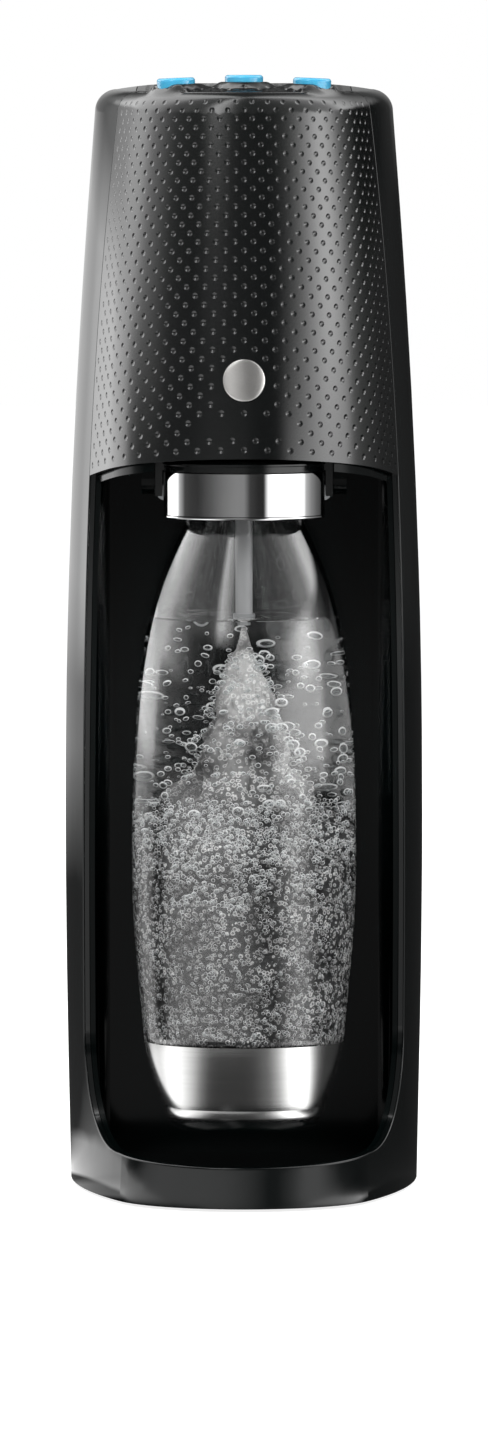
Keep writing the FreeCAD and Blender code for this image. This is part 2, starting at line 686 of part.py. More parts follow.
def gas_hose():
    """The hose from the valve block down to the swivel union: two straight runs and one round bend."""
    across, level = -size("hose_across"), size("hose_level")
    start = Vector(across, size("gas_back") - 24, level)
    corner = Vector(across, -size("pivot_front"), level)
    end = Vector(across, -size("pivot_front"), size("union_top"))
    bend = size("hose_bend")
    before, after = corner + Vector(0, bend, 0), corner - Vector(0, 0, bend)
    centre = corner + Vector(0, bend, -bend)
    middle = centre + Vector(0, -1, 1).normalize() * bend
    path = Part.Wire([Part.LineSegment(start, before).toShape(), Part.Arc(before, middle, after).toShape(),
                      Part.LineSegment(after, end).toShape()])
    ring = Part.Wire([Part.Circle(start, Vector(0, 1, 0), size("hose_radius")).toShape()])
    return node(fixed("GasHose", path.makePipeShell([ring], True, True)), "gas_hose")


def swivel_union():
    """The fixed half of the swivel on the collar's axis: gas passes here into the tilting nozzle."""
    across, level = "-hose_across", "pivot_level"
    barrel = rod("UnionBarrel", "4", "10", ("-hose_across - 4", "-pivot_front", level), ALONG_X)
    stem = rod("UnionStem", "3", "union_top - pivot_level", (across, "-pivot_front", level))
    saddle = block("UnionSaddle", ("-hose_across - 5", "-pivot_front - 4", "ceiling_low + ceiling_thick"),
                   ("-hose_across + 5", "recess_back - 1", "ceiling_low + ceiling_thick + 2"))
    bore = rod("UnionBore", "1.7", "8", ("-hose_across - 1.6", "-pivot_front", level), ALONG_X)
    solid = joined("UnionSolid", [barrel, stem, saddle])
    return node(less("SwivelUnion", solid, [bore]), "swivel_union")


# ---------------------------------------------------------------- collar, nozzle and bottle

def collar_yoke():
    """The black holder of the bottle's neck, with the lip above the band and two arms to the pivot."""
    inner = "collar_radius - collar_wall - 0.2"
    holder = turned("YokeHolder", [
        ("neck_radius + 0.6", "collar_low + 8"), (inner, "collar_low + 8"), (inner, "collar_top + 0.1"),
        ("collar_radius - 0.2", "collar_top + 0.1"), ("collar_radius - 0.2", "collar_top + 2.2"),
        ("collar_radius + 0.3", "collar_top + 2.5"), ("collar_radius + 0.3", "collar_top + 3.1"),
        ("collar_radius - 0.2", "collar_top + 3.4"), ("collar_radius - 2", "collar_top + 4.4"),
        ("22", "collar_top + 5"), ("19.6", "collar_top + 16"), ("nozzle_radius + 0.05", "collar_top + 16"),
        ("nozzle_radius + 0.05", "neck_top + 1.4"), ("neck_radius + 0.6", "neck_top + 1.4"),
    ], at=("0", "-bottle_front", "0"))
    arms, holes = [], []
    for name, start, end in (("Left", "-arm_out", "-arm_in"), ("Right", "arm_in", "arm_out")):
        arms.append(block("Arm" + name, (start, "-bottle_front + 1", "pivot_level - 5.3"),
                          (end, "-pivot_front", "collar_top + 4")))
        arms.append(rod("ArmEye" + name, "5.3", "arm_out - arm_in",
                        (start, "-pivot_front", "pivot_level"), ALONG_X))
        holes.append(rod("ArmHole" + name, "pin_radius + running_gap", "20",
                         (start + " - 5", "-pivot_front", "pivot_level"), ALONG_X))
    for name, start, end in (("Left", "-arm_out", "-19"), ("Right", "19", "arm_out")):
        arms.append(block("Bridge" + name, (start, "-bottle_front + 1", "collar_top + 0.1"),
                          (end, "-bottle_front + 16", "collar_top + 4")))
    neck_way = rod("NeckWay", "neck_radius + 0.6", "neck_top + 1.4 - collar_low",
                   ("0", "-bottle_front", "collar_low"))
    return node(less("CollarYoke", joined("YokeSolid", [holder, *arms]), [neck_way, *holes]), "collar_yoke")


def collar_band():
    """The bright band round the collar, with a thin rolled lip at its lower edge."""
    body = turned("CollarBand", [
        ("collar_radius - collar_wall", "collar_top"), ("collar_radius - collar_wall", "collar_low + 0.6"),
        ("collar_radius - collar_wall + 0.5", "collar_low"), ("collar_radius + 0.1", "collar_low"),
        ("collar_radius + 0.35", "collar_low + 0.3"), ("collar_radius + 0.35", "collar_low + 0.8"),
        ("collar_radius", "collar_low + 1.1"), ("collar_radius", "collar_top - 0.4"),
        ("collar_radius - 0.3", "collar_top"),
    ], at=("0", "-bottle_front", "0"))
    return node(body, "collar_band")


def collar_pins():
    """Two steel pins, pressed into the lugs, that the collar tilts on."""
    pins = []
    for name, start in (("Left", "-lug_out"), ("Right", "arm_in - 0.6")):
        pins.append(rod("CollarPin" + name, "pin_radius", "lug_out - arm_in + 0.6",
                        (start, "-pivot_front", "pivot_level"), ALONG_X))
    return node(joined("CollarPins", pins), "collar_pins")


def nozzle_tube():
    """The grey carbonating tube that hangs into the bottle."""
    body = turned("NozzleTube", [
        ("1.6", "nozzle_low"), ("nozzle_radius", "nozzle_low"), ("nozzle_radius", "nozzle_top"),
        ("1.6", "nozzle_top"),
    ], at=("0", "-bottle_front", "0"))
    return node(body, "nozzle_tube")


def nozzle_tip():
    """The dark tip of the tube: a tapered disc with a small jet under it."""
    body = turned("NozzleTip", [
        ("0.6", "tip_low"), ("1.8", "tip_low"), ("1.8", "tip_low + 2.5"), ("2.9", "tip_low + 2.5"),
        ("tip_radius", "tip_low + 5"), ("tip_radius", "nozzle_low"), ("0.6", "nozzle_low"),
    ], at=("0", "-bottle_front", "0"))
    return node(body, "nozzle_tip")


def neck_seal():
    """The rubber ring that the bottle's mouth presses against."""
    body = turned("NeckSeal", [
        ("nozzle_radius + 0.05", "neck_top + 0.35"), ("neck_radius - 0.4", "neck_top + 0.35"),
        ("neck_radius - 0.4", "neck_top + 1.4"), ("nozzle_radius + 0.05", "neck_top + 1.4"),
    ], at=("0", "-bottle_front", "0"))
    return node(body, "neck_seal")


def feed_pipe():
    """The tilting half of the gas feed: a spigot in the swivel union and a pipe to the nozzle's top."""
    radius, back, level = size("pipe_radius"), -size("pivot_front"), size("pivot_level")
    across, over, front = -size("hose_across") + 12, size("nozzle_top") + 3, -size("bottle_front")
    spigot = Part.makeCylinder(1.6, 9, Vector(-size("hose_across") - 1, back, level), Vector(1, 0, 0))
    hub = Part.makeCylinder(3.4, 7, Vector(across - 5.6, back, level), Vector(1, 0, 0))
    points = [Vector(across, back, level), Vector(across, back, over), Vector(0, front, over)]
    pipe = spigot.fuse(hub)
    for start, end in zip(points, points[1:]):
        pipe = pipe.fuse(Part.makeCylinder(radius, (end - start).Length, start, end - start))
    for point in points[1:]:
        pipe = pipe.fuse(Part.makeSphere(radius, point))
    cap = Part.makeCylinder(size("nozzle_radius") + 0.6, 3.4, Vector(0, front, size("nozzle_top")))
    return node(fixed("FeedPipe", pipe.fuse(cap)), "feed_pipe")


def bottle_outline(inset):
    """The bottle's outside, from the mouth down to its round base, moved inwards: radius and height."""
    front = [(21.75, 253.8), (31.8, 230.3), (35.1, 218.1), (38.1, 201.7), (39.8, 186.8), (41.4, 157),
             (41.8, 131), (41.2, 105), (39.4, 82.8), (37.2, size("cup_top") + 0.2)]
    return [(radius - inset, height) for radius, height in front]


def bottle_form(inset, top, low):
    """A solid of the bottle's outside, moved inwards and cut off at the top."""
    neck = size("neck_radius") - inset
    curve = Part.BSplineCurve()
    shoulder = [(neck, 265.5)] + bottle_outline(inset)
    points = [Vector(radius, 0, height) for radius, height in shoulder]
    curve.interpolate(Points=points, InitialTangent=Vector(0.15, 0, -1), FinalTangent=Vector(-0.24, 0, -1))
    step = size("cup_wall") + 0.15
    lower = [Vector(shoulder[-1][0] - step, 0, size("cup_top") + 0.2), Vector(33.3 - step - inset, 0, 44.5),
             Vector(30 - step - inset, 0, 35.6), Vector(24.5 - step - inset, 0, low + inset)]
    edges = [Part.LineSegment(Vector(0, 0, top), Vector(neck, 0, top)),
             Part.LineSegment(Vector(neck, 0, top), points[0]), curve,
             Part.LineSegment(points[-1], lower[0]),
             Part.Arc(lower[0], lower[1], lower[2]),
             Part.Arc(lower[2], Vector(28 - step - inset, 0, low + inset + 2.8), lower[3]),
             Part.LineSegment(lower[3], Vector(0, 0, low + inset)),
             Part.LineSegment(Vector(0, 0, low + inset), Vector(0, 0, top))]
    face = Part.Face(Part.Wire([edge.toShape() for edge in edges]))
    solid = face.revolve(Vector(0, 0, 0), Vector(0, 0, 1), 360)
    solid.translate(Vector(0, -size("bottle_front"), 0))
    return solid


def bottle_shell():
    """The clear bottle: a thin wall all round, a snap rim at the mouth and an open top."""
    low = size("bottle_low") + size("cup_wall") + 0.2
    outer = bottle_form(0, size("neck_top"), low)
    inner = bottle_form(size("bottle_wall"), size("neck_top") + 5, low)
    return node(fixed("BottleShell", outer.cut(inner)), "bottle_shell")


def bottle_cup():
    """The steel cup round the bottle's foot."""
    low, top, wall = size("bottle_low"), size("cup_top"), size("cup_wall")

    def side(inset, floor):
        """The cup's profile: a leaning wall, a round heel and a flat floor."""
        wall_low, heel = Vector(33.3 - inset, 0, 44.5), Vector(30 - inset, 0, 35.6)
        rim = Vector(37.2 - inset, 0, top)
        edges = [Part.LineSegment(Vector(0, 0, top), rim), Part.Arc(rim, wall_low, heel),
                 Part.Arc(heel, Vector(28 - inset, 0, floor + 2.8), Vector(24.5 - inset, 0, floor)),
                 Part.LineSegment(Vector(24.5 - inset, 0, floor), Vector(0, 0, floor)),
                 Part.LineSegment(Vector(0, 0, floor), Vector(0, 0, top))]
        face = Part.Face(Part.Wire([edge.toShape() for edge in edges]))
        return face.revolve(Vector(0, 0, 0), Vector(0, 0, 1), 360)

    cup = side(0, low).cut(side(wall, low + wall))
    cup.translate(Vector(0, -size("bottle_front"), 0))
    return node(fixed("BottleCup", cup), "bottle_cup")


def fizz_form():
    """The gas bubbles' outline: a jet under the nozzle that opens into a cone wider than the bottle."""
    widest = 45
    cone = [(1, size("fizz_top")), (2.8, 204), (6.9, 192), (9.2, 179), (13.6, 164), (20.5, 149.5),
            (31, 135), (widest, size("fizz_low"))]
    curve = Part.BSplineCurve()
    curve.interpolate([Vector(radius, 0, height) for radius, height in cone])
    top, low = Vector(0, 0, size("fizz_top")), Vector(widest, 0, size("fizz_low"))
    foot = Vector(widest, 0, 0)
    edges = [Part.LineSegment(top, Vector(1, 0, size("fizz_top"))), curve, Part.LineSegment(low, foot),
             Part.LineSegment(foot, Vector(0, 0, 0)), Part.LineSegment(Vector(0, 0, 0), top)]
    face = Part.Face(Part.Wire([edge.toShape() for edge in edges]))
    solid = face.revolve(Vector(0, 0, 0), Vector(0, 0, 1), 360)
    solid.translate(Vector(0, -size("bottle_front"), 0))
    return solid


def water():
    """The clear water above the fizz, with a well where the nozzle's tip dips in, and the fizz itself."""
    low = size("bottle_low") + size("cup_wall") + 0.2
    inside = bottle_form(size("bottle_wall") + 0.05, size("neck_top"), low)
    level = size("water_level")
    inside = inside.common(slab((-60, -120, 0), (60, 60, level)))
    well = Part.makeCylinder(size("tip_radius") + 0.5, 20,
                             Vector(0, -size("bottle_front"), size("tip_low") - 0.5))
    fizz = fizz_form()
    node(fixed("Water", inside.cut(well).cut(fizz)), "water")
    return node(fixed("FizzPlume", inside.common(fizz)), "fizz_plume")


# ---------------------------------------------------------------- buttons

def button(name, side):
    """A round cap with a flange under the head cover and a stem down to its switch."""
    level = cap_level(side)
    body = turned("Button" + name.title(), [
        ("0", "stem_low - (%s)" % level), ("stem_radius", "stem_low - (%s)" % level),
        ("stem_radius", "-flange_thick"), ("flange_radius", "-flange_thick"), ("flange_radius", "0"),
        ("button_radius", "0"), ("button_radius", "cap_tall"), ("0", "cap_tall"),
    ])
    rounded(body, 1.1, lambda edge: edge.BoundBox.ZMin > size("cap_tall") - 0.01)
    tilt = Rotation(Vector(0, 1, 0), side * size("button_tilt"))
    put(body, ("%d * button_step" % side, "-button_front", level), tilt)
    return node(body, "button_" + name)


def coil(name, label, radius, wire, turns, length, at, turn=None):
    """A coil spring along its own Z axis, made as a swept helix."""
    helix = bind(doc.addObject("Part::Helix", name + "Helix"), Radius=radius, Height=length)
    helix.setExpression("Pitch", linked("(%s) / %s" % (length, turns)))
    ring = doc.addObject("Part::Circle", name + "Ring")
    bind(ring, Radius=wire)
    ring.setExpression(".Placement.Base.x", linked(radius))
    ring.Placement.Rotation = Rotation(Vector(1, 0, 0), 90)
    sweep = doc.addObject("Part::Sweep", name)
    sweep.Sections = [ring]
    sweep.Spine = (helix, ["Edge1"])
    sweep.Solid = True
    sweep.Frenet = True
    return node(put(sweep, at, turn), label)


def button_spring(name, side):
    """The return spring round a button's stem; the middle one's wire starts at the side."""
    level = cap_level(side)
    length = "%s - flange_thick - (button_frame_low + button_frame_thick) - 1.4" % level
    shift = 7.0 * math.sin(math.radians(side * size("button_tilt")))
    place = ("%d * button_step - %.4f" % (side, shift), "-button_front",
             "button_frame_low + button_frame_thick + 0.8")
    tilt = Rotation(Vector(0, 1, 0), side * size("button_tilt"))
    wire_end = Rotation(Vector(0, 0, 1), 0 if side else 90)
    return coil("Spring" + name.title(), "button_spring_" + name, "5", "0.4", "4", length, place,
                tilt * wire_end)


def button_frame():
    """The bridge on the two posts that guides the three button stems."""
    low, thick = size("button_frame_low"), size("button_frame_thick")
    plate = slab((-31, -51, low), (31, -34, low + thick))
    for _, side in BUTTONS:
        plate = plate.cut(button_bore(side, size("stem_radius") + 0.07, 0, 20))
    return node(fixed("ButtonFrame", plate), "button_frame")


def button_board():
    """The small circuit board under the button frame, with holes for the two posts."""
    plate = block("BoardPlate", ("-30", "-51", "board_low"), ("30", "-34", "board_low + board_thick"))
    holes = [rod("BoardHole" + name, "2.8", "10", (across, "-post_front", "board_low - 5"))
             for name, across in (("Left", "-post_across"), ("Right", "post_across"))]
    return node(less("ButtonBoard", plate, holes), "button_board")


def tact_switches():
    """Three square push switches on the button board."""
    switches = []
    for name, side in BUTTONS:
        middle = "%d * button_step" % side
        top = "board_low + board_thick"
        base = block("SwitchBase" + name, (middle + " - 3", "-button_front - 3", top),
                     (middle + " + 3", "-button_front + 3", top + " + 2.2"))
        stud = rod("SwitchStud" + name, "1.6", "switch_top - (%s)" % top, (middle, "-button_front", top))
        switches.append(joined("Switch" + name.title(), [base, stud]))
    return node(joined("TactSwitches", switches), "tact_switches")


def light_guides():
    """Three clear rings on the board that carry light up round the switches."""
    rings = []
    for name, side in BUTTONS:
        ring = turned("Guide" + name.title(), [("5", "0"), ("7", "0"), ("7", "3.4"), ("5", "3.4")],
                      at=("%d * button_step" % side, "-button_front", "board_low + board_thick"))
        rings.append(ring)
    return node(joined("LightGuides", rings), "light_guides")


# ---------------------------------------------------------------- drive

def gear_face(teeth, module, fit, offset):
    """A spur gear's outline: straight-flanked teeth with a little play, the first tooth at an angle."""
    pitch = teeth * module / 2
    root, tip = pitch - 1.15 * module, pitch + 0.9 * module
    half = math.pi / (2 * teeth) * fit
    slope = math.tan(math.radians(20))
    low_half = half + slope * (pitch - root) / pitch * 0.75
    tip_half = half - slope * (tip - pitch) / pitch
    points = []
    for tooth in range(teeth):
        middle = offset + 2 * math.pi * tooth / teeth
        for radius, turn in ((root, -low_half), (pitch, -half), (tip, -tip_half),
                             (tip, tip_half), (pitch, half), (root, low_half)):
            points.append(Vector(0, radius * math.cos(middle + turn), radius * math.sin(middle + turn)))
    return Part.Face(Part.makePolygon(points + points[:1]))


MESH_TURN = math.radians(-135)


def cam_gear():
    """The large gear, its shaft and the cam that lifts the lever, as one moulded piece."""
    teeth, module = int(size("gear_teeth")), size("tooth_module")
    near, far = size("gear_near"), size("gear_far")
    gear = gear_face(teeth, module, 0.86, MESH_TURN).extrude(Vector(far - near, 0, 0))
    gear.translate(Vector(near, 0, 0))
    base, rise = size("cam_radius"), size("cam_rise")
    low_turn, high_turn = math.radians(-25), math.radians(105)
    steps = 14
    lift = []
    for step in range(steps + 1):
        turn = low_turn + (high_turn - low_turn) * step / steps
        radius = base + rise * max(0, turn) / math.radians(90)
        lift.append(Vector(0, radius * math.sin(turn), radius * math.cos(turn)))
    track = Part.BSplineCurve()
    track.interpolate(lift)
    far_side = Vector(0, -4.5 * math.sin(math.radians(40)), -4.5 * math.cos(math.radians(40)))
    back = Part.Arc(lift[-1], far_side, lift[0])
    half = size("cam_half") - 0.2
    cam = Part.Face(Part.Wire([track.toShape(), back.toShape()])).extrude(Vector(2 * half, 0, 0))
    cam.translate(Vector(-half, 0, 0))
    shaft = Part.makeCylinder(size("shaft_radius"), 20.6, Vector(-7.4, 0, 0), Vector(1, 0, 0))
    hub = Part.makeCylinder(3.6, near + 0.4, Vector(0.2, 0, 0), Vector(1, 0, 0))
    solid = gear.fuse([cam, shaft, hub])
    for hole in range(6):
        turn = math.radians(60 * hole)
        spot = Vector(near - 1, 9 * math.cos(turn), 9 * math.sin(turn))
        solid = solid.cut(Part.makeCylinder(2.4, far - near + 2, spot, Vector(1, 0, 0)))
    thing = fixed("CamGear", solid)
    return node(put(thing, ("0", "-cam_front", "cam_level")), "cam_gear")


def pinion_place():
    """The motor's axis: one centre distance from the cam's axis, forwards and down."""
    distance = (size("gear_teeth") + size("pinion_teeth")) * size("tooth_module") / 2 + size("mesh_gap")
    front, level = -size("cam_front"), size("cam_level")
    return front + distance * math.cos(MESH_TURN), level + distance * math.sin(MESH_TURN)


def motor_pinion():
    """The motor's shaft with its small gear; a gap between teeth faces the large gear."""
    teeth = int(size("pinion_teeth"))
    offset = MESH_TURN + math.pi + math.pi / teeth
    gear = gear_face(teeth, size("tooth_module"), 0.86, offset).extrude(Vector(4.8, 0, 0))
    gear.translate(Vector(size("gear_near") - 0.4, 0, 0))
    shaft = Part.makeCylinder(1, 12, Vector(size("gear_near") - 0.4, 0, 0), Vector(1, 0, 0))
    solid = gear.fuse(shaft)
    thing = fixed("MotorPinion", solid)
    thing.Placement = Placement(Vector(0, *pinion_place()), Rotation())
    return node(thing, "motor_pinion")


def motor_can():
    """The small electric motor: a can with a collar in front and two tabs behind."""
    front, level = pinion_place()
    start, length = size("gear_far") + 3.9, size("motor_length")
    can = Part.makeCylinder(size("motor_radius"), length, Vector(start, front, level), Vector(1, 0, 0))
    nose = Part.makeCylinder(3, 2.4, Vector(start - 2.4, front, level), Vector(1, 0, 0))
    bore = Part.makeCylinder(1.06, 8, Vector(start - 3, front, level), Vector(1, 0, 0))
    solid = can.fuse(nose).cut(bore)
    for side in (-1, 1):
        tab = slab((start + length - 0.5, front + side * 5 - 1.2, level - 0.4),
                   (start + length + 3, front + side * 5 + 1.2, level + 0.4))
        solid = solid.fuse(tab)
    return node(fixed("MotorCan", solid), "motor_can")


def gearbox_housing():
    """Two side plates on a foot, which carry the cam's shaft and the motor."""
    foot_low = size("shelf_low") + size("shelf_thick")
    front, level = pinion_place()
    top, far = size("cam_level") + 7, size("gear_far") + 3.8
    right = slab((far - 2.4, -34, foot_low), (far, 1, top))
    left = slab((-7.2, -16, foot_low), (-4.6, 1, top))
    foot = slab((-7.2, -34, foot_low), (far, 1, foot_low + 3))
    solid = right.fuse([left, foot])
    cam_hole = Part.makeCylinder(size("shaft_radius") + size("running_gap"), 40,
                                 Vector(-12, -size("cam_front"), size("cam_level")), Vector(1, 0, 0))
    motor_hole = Part.makeCylinder(3.02, 40, Vector(0, front, level), Vector(1, 0, 0))
    return node(fixed("GearboxHousing", solid.cut([cam_hole, motor_hole])), "gearbox_housing")


def valve_lever():
    """The rocking lever: the cam lifts its front end and its rear end presses the pusher."""
    body = padded("ValveLever", "YZ_Plane", [
        ("-cam_front - 5", "lever_low"), ("gas_back + 3", "lever_low"),
        ("gas_back + 4.5", "lever_low + 1.5"), ("gas_back + 4.5", "lever_low + lever_thick - 1"),
        ("lever_pivot_back + 4", "lever_low + lever_thick + 0.6"),
        ("lever_pivot_back - 4", "lever_low + lever_thick + 0.6"),
        ("-cam_front - 6", "lever_low + lever_thick - 1"), ("-cam_front - 6", "lever_low + 1"),
    ], "5.6")
    hole = rod("LeverBore", "1.5 + running_gap", "20", ("-10", *LEVER_AXIS), ALONG_X)
    return node(less("LeverDrilled", body, [hole]), "valve_lever")


def lever_pin():
    """The pin that the lever rocks on, pressed into the chassis cheeks."""
    pin = rod("LeverPin", "1.5", "12.8", ("-6.4", *LEVER_AXIS), ALONG_X)
    return node(pin, "lever_pin")


def valve_pusher():
    """The steel pusher between the lever and the pin of the cylinder's valve."""
    body = turned("ValvePusher", [
        ("0", "pusher_low"), ("2", "pusher_low"), ("2", "lever_low - 2.3"), ("3.8", "lever_low - 2.3"),
        ("3.8", "lever_low - 0.9"), ("2.2", "lever_low - 0.3"), ("0", "lever_low - 0.3"),
    ], at=("0", "gas_back", "0"))
    return node(body, "valve_pusher")


def pusher_spring():
    """The return spring between the valve block and the pusher's head."""
    return coil("PusherSpring", "pusher_spring", "2.9", "0.3", "3", "lever_low - 2.3 - block_top - 0.8",
                ("0", "gas_back", "block_top + 0.4"))


def control_board():
    """The circuit board beside the drive, with a few tall parts on it."""
    low = size("shelf_low") + size("shelf_thick")
    board = slab((-37, -30, low), (-20, -28.4, low + 44))
    for across, height, radius, length in ((-32, 12, 3, 9), (-25, 12, 2.5, 8), (-32, 34, 3, 9)):
        foot = Vector(across, -28.5, low + height)
        board = board.fuse(Part.makeCylinder(radius, length, foot, Vector(0, 1, 0)))
    chip = slab((-31, -28.5, low + 19), (-23, -26.4, low + 26))
    relay = slab((-28, -28.5, low + 31), (-22, -24, low + 40))
    return node(fixed("ControlBoard", board.fuse([chip, relay])), "control_board")


# ---------------------------------------------------------------- rear of the foot and the rear cover

def dc_socket():
    """The round low-voltage inlet at the rear, with its centre contact."""
    place = ("socket_across", "80", "socket_level")
    barrel = rod("SocketBarrel", "socket_radius", "14.6", place, ALONG_Y)
    bore = rod("SocketBore", "socket_bore", "10", ("socket_across", "85", "socket_level"), ALONG_Y)
    pin = rod("SocketPin", "1", "9", ("socket_across", "84.5", "socket_level"), ALONG_Y)
    return node(joined("DcSocket", [less("SocketHollow", barrel, [bore]), pin]), "dc_socket")


def rear_hinge_pins():
    """Two short pins, pressed into the lugs of the base plate, that the rear cover turns on."""
    pins = [rod("HingePin" + name, "hinge_pin", "11.6", (start, "hinge_back", "hinge_level"), ALONG_X)
            for name, start in (("Left", "-hinge_across - 3.6"), ("Right", "hinge_across - 8"))]
    return node(joined("RearHingePins", pins), "rear_hinge_pins")


def cover_latch():
    """The sliding catch of the rear cover: a ribbed thumb pad, a flange inside and a short tongue."""
    half, low, tall = size("latch_half"), size("latch_low"), size("latch_tall")
    inside = size("tower_back") - size("skin") - 0.3
    pad = slab((-half, inside - 0.5, low), (half, size("tower_back") - 0.9, low + tall))
    for rib in range(4):
        height = low + 2.4 + rib * 2.2
        pad = pad.fuse(slab((-half + 2, inside, height), (half - 2, size("tower_back") - 0.3, height + 0.8)))
    spring_high, back = size("latch_spring_high"), size("latch_spring_back")
    flange = slab((-half - 2, inside - 2, low - 4), (half + 2, inside, low + tall + 2))
    seat = slab((-4, back - 3, spring_high), (4, inside - 1, spring_high + 2))
    tongue = slab((-6, inside - 4, low + tall - 2), (6, inside - 1.5, size("cover_top") - 1))
    return node(fixed("CoverLatch", pad.fuse([flange, seat, tongue])), "cover_latch")


def latch_spring():
    """The spring that pushes the catch up."""
    return coil("LatchSpring", "latch_spring", "2", "0.3", "5", "latch_spring_high - latch_spring_low - 0.8",
                ("0", "latch_spring_back", "latch_spring_low + 0.4"))


# ---------------------------------------------------------------- build, check and write

outer_shell()
head_cover()
badge_disc()
head_underside()
recess_liner()
liner_screws()
base_plate()
rubber_feet()
base_screws()
rear_hinge_pins()
chassis_frame()
cylinder_cradle()
gas_cylinder()
cylinder_valve()
valve_pin()
valve_block()
relief_valve()
gas_hose()
swivel_union()
collar_yoke()
collar_band()
collar_pins()
nozzle_tube()
nozzle_tip()
neck_seal()
feed_pipe()
bottle_shell()
bottle_cup()
water()
for word, place in BUTTONS:
    button(word, place)
    button_spring(word, place)
button_frame()
button_board()
tact_switches()
light_guides()
cam_gear()
motor_pinion()
motor_can()
gearbox_housing()
valve_lever()
lever_pin()
valve_pusher()
pusher_spring()
control_board()
dc_socket()
rear_cover()
cover_latch()
latch_spring()

doc.recompute()
for thing in doc.Objects:
    if "Invalid" in thing.State or "Error" in thing.State:
        raise RuntimeError("%s did not build: %s" % (thing.Label, thing.State))
for thing in NODES:
    if thing.Shape.isNull() or not thing.Shape.isValid():
        raise RuntimeError("%s has no valid shape" % thing.Label)

os.makedirs("parts", exist_ok=True)
for thing in NODES:
    thing.Shape.exportStep("parts/%s.step" % thing.Label)
    box = thing.Shape.optimalBoundingBox()
    print("%-22s %2d solids %10.1f mm3  x %7.2f %7.2f  y %7.2f %7.2f  z %7.2f %7.2f" % (
        thing.Label, len(thing.Shape.Solids), thing.Shape.Volume,
        box.XMin, box.XMax, box.YMin, box.YMax, box.ZMin, box.ZMax))
print(len(NODES), "sub-parts")
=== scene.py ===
# %% [markdown]
# # A slim home soda carbonator
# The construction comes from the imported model: 53 named parts on their joints, in metres.
# This lesson dresses it. Parts whose shape is already right keep their meshes and get a
# finish; the few that need finer work (the dimpled head, the badge, the clear bottle and what
# moves inside it) are rebuilt here in mesh code, from the same sizes as the construction.

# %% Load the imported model
import math
import random

import bmesh
import bpy
import numpy as np
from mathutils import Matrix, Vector, geometry, noise


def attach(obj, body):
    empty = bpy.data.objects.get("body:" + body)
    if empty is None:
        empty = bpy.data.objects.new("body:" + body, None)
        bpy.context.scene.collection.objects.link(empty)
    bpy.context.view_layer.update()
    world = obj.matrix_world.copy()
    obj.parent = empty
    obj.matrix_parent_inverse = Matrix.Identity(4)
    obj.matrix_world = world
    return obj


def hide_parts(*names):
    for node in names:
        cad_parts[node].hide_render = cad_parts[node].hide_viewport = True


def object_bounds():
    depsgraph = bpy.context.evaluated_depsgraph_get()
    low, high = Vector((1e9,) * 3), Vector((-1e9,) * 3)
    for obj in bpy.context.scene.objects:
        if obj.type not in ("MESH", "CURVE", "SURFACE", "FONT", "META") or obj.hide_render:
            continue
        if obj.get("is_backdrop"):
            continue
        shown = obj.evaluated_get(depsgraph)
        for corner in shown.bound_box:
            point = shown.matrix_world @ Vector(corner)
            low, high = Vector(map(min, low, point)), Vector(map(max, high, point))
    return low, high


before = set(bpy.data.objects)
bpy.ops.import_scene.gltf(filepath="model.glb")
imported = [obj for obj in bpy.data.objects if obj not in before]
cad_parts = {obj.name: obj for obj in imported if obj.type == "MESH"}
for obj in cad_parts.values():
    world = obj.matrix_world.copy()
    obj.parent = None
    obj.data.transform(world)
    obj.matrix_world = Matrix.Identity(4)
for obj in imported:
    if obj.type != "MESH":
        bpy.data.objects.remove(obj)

cad_low, cad_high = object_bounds()
size_mm = [round(1000 * side) for side in cad_high - cad_low]
print("parts:", len(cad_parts), "size in mm:", size_mm)

# %% [markdown]
# ## Helpers
# Colours are written as sRGB hex values, as a maker would read them from a swatch, and one
# function turns them into the linear numbers that shaders use. One more adds a node: its
# settings, its fixed values and its links in a single call. Meshes are made in millimetres
# and stored in metres.

# %% Helpers for colours and nodes
FINISHES = {}


def colour(code):
    """An sRGB hex colour as linear red, green, blue and alpha."""
    parts = [int(code[start:start + 2], 16) / 255 for start in (1, 3, 5)]
    return (*[p / 12.92 if p <= 0.04045 else ((p + 0.055) / 1.055) ** 2.4 for p in parts], 1.0)


def add(tree, kind, inputs=None, **settings):
    """Add one shader node: settings are its properties, inputs are values or linked outputs."""
    node = tree.nodes.new("ShaderNode" + kind)
    for name, value in settings.items():
        setattr(node, name, value)
    for name, value in (inputs or {}).items():
        if isinstance(value, bpy.types.NodeSocket):
            tree.links.new(value, node.inputs[name])
        else:
            node.inputs[name].default_value = value
    return node


def bare_material(title):
    """A new material with an empty node tree."""
    material = bpy.data.materials.new(title)
    material.use_nodes = True
    material.node_tree.nodes.clear()
    return material


def finish(slot, title):
    """A bare material for one of the record's slots, with its output and the object's places."""
    material = FINISHES[slot] = bare_material(title)
    tree = material.node_tree
    return tree, add(tree, "OutputMaterial"), add(tree, "TexCoord").outputs["Object"]


def shade(tree, output, inputs):
    """The material's main shader, joined to its output."""
    shader = add(tree, "BsdfPrincipled", inputs)
    tree.links.new(shader.outputs["BSDF"], output.inputs["Surface"])
    return shader


print("a middle grey in linear light:", round(colour("#808080")[0], 3))

# %% Helpers for meshes
MM = 0.001
put_in_scene = bpy.context.scene.collection.objects.link


def mesh_piece(name, points, faces, normals=None):
    """A smooth mesh object from points in millimetres, with exact outward directions if given."""
    mesh = bpy.data.meshes.new(name)
    mesh.from_pydata([tuple(np.asarray(point, float) * MM) for point in points], [], faces)
    mesh.shade_smooth()
    if normals is not None:
        mesh.normals_split_custom_set_from_vertices([tuple(n) for n in normals])
    piece = bpy.data.objects.new(name, mesh)
    put_in_scene(piece)
    return piece


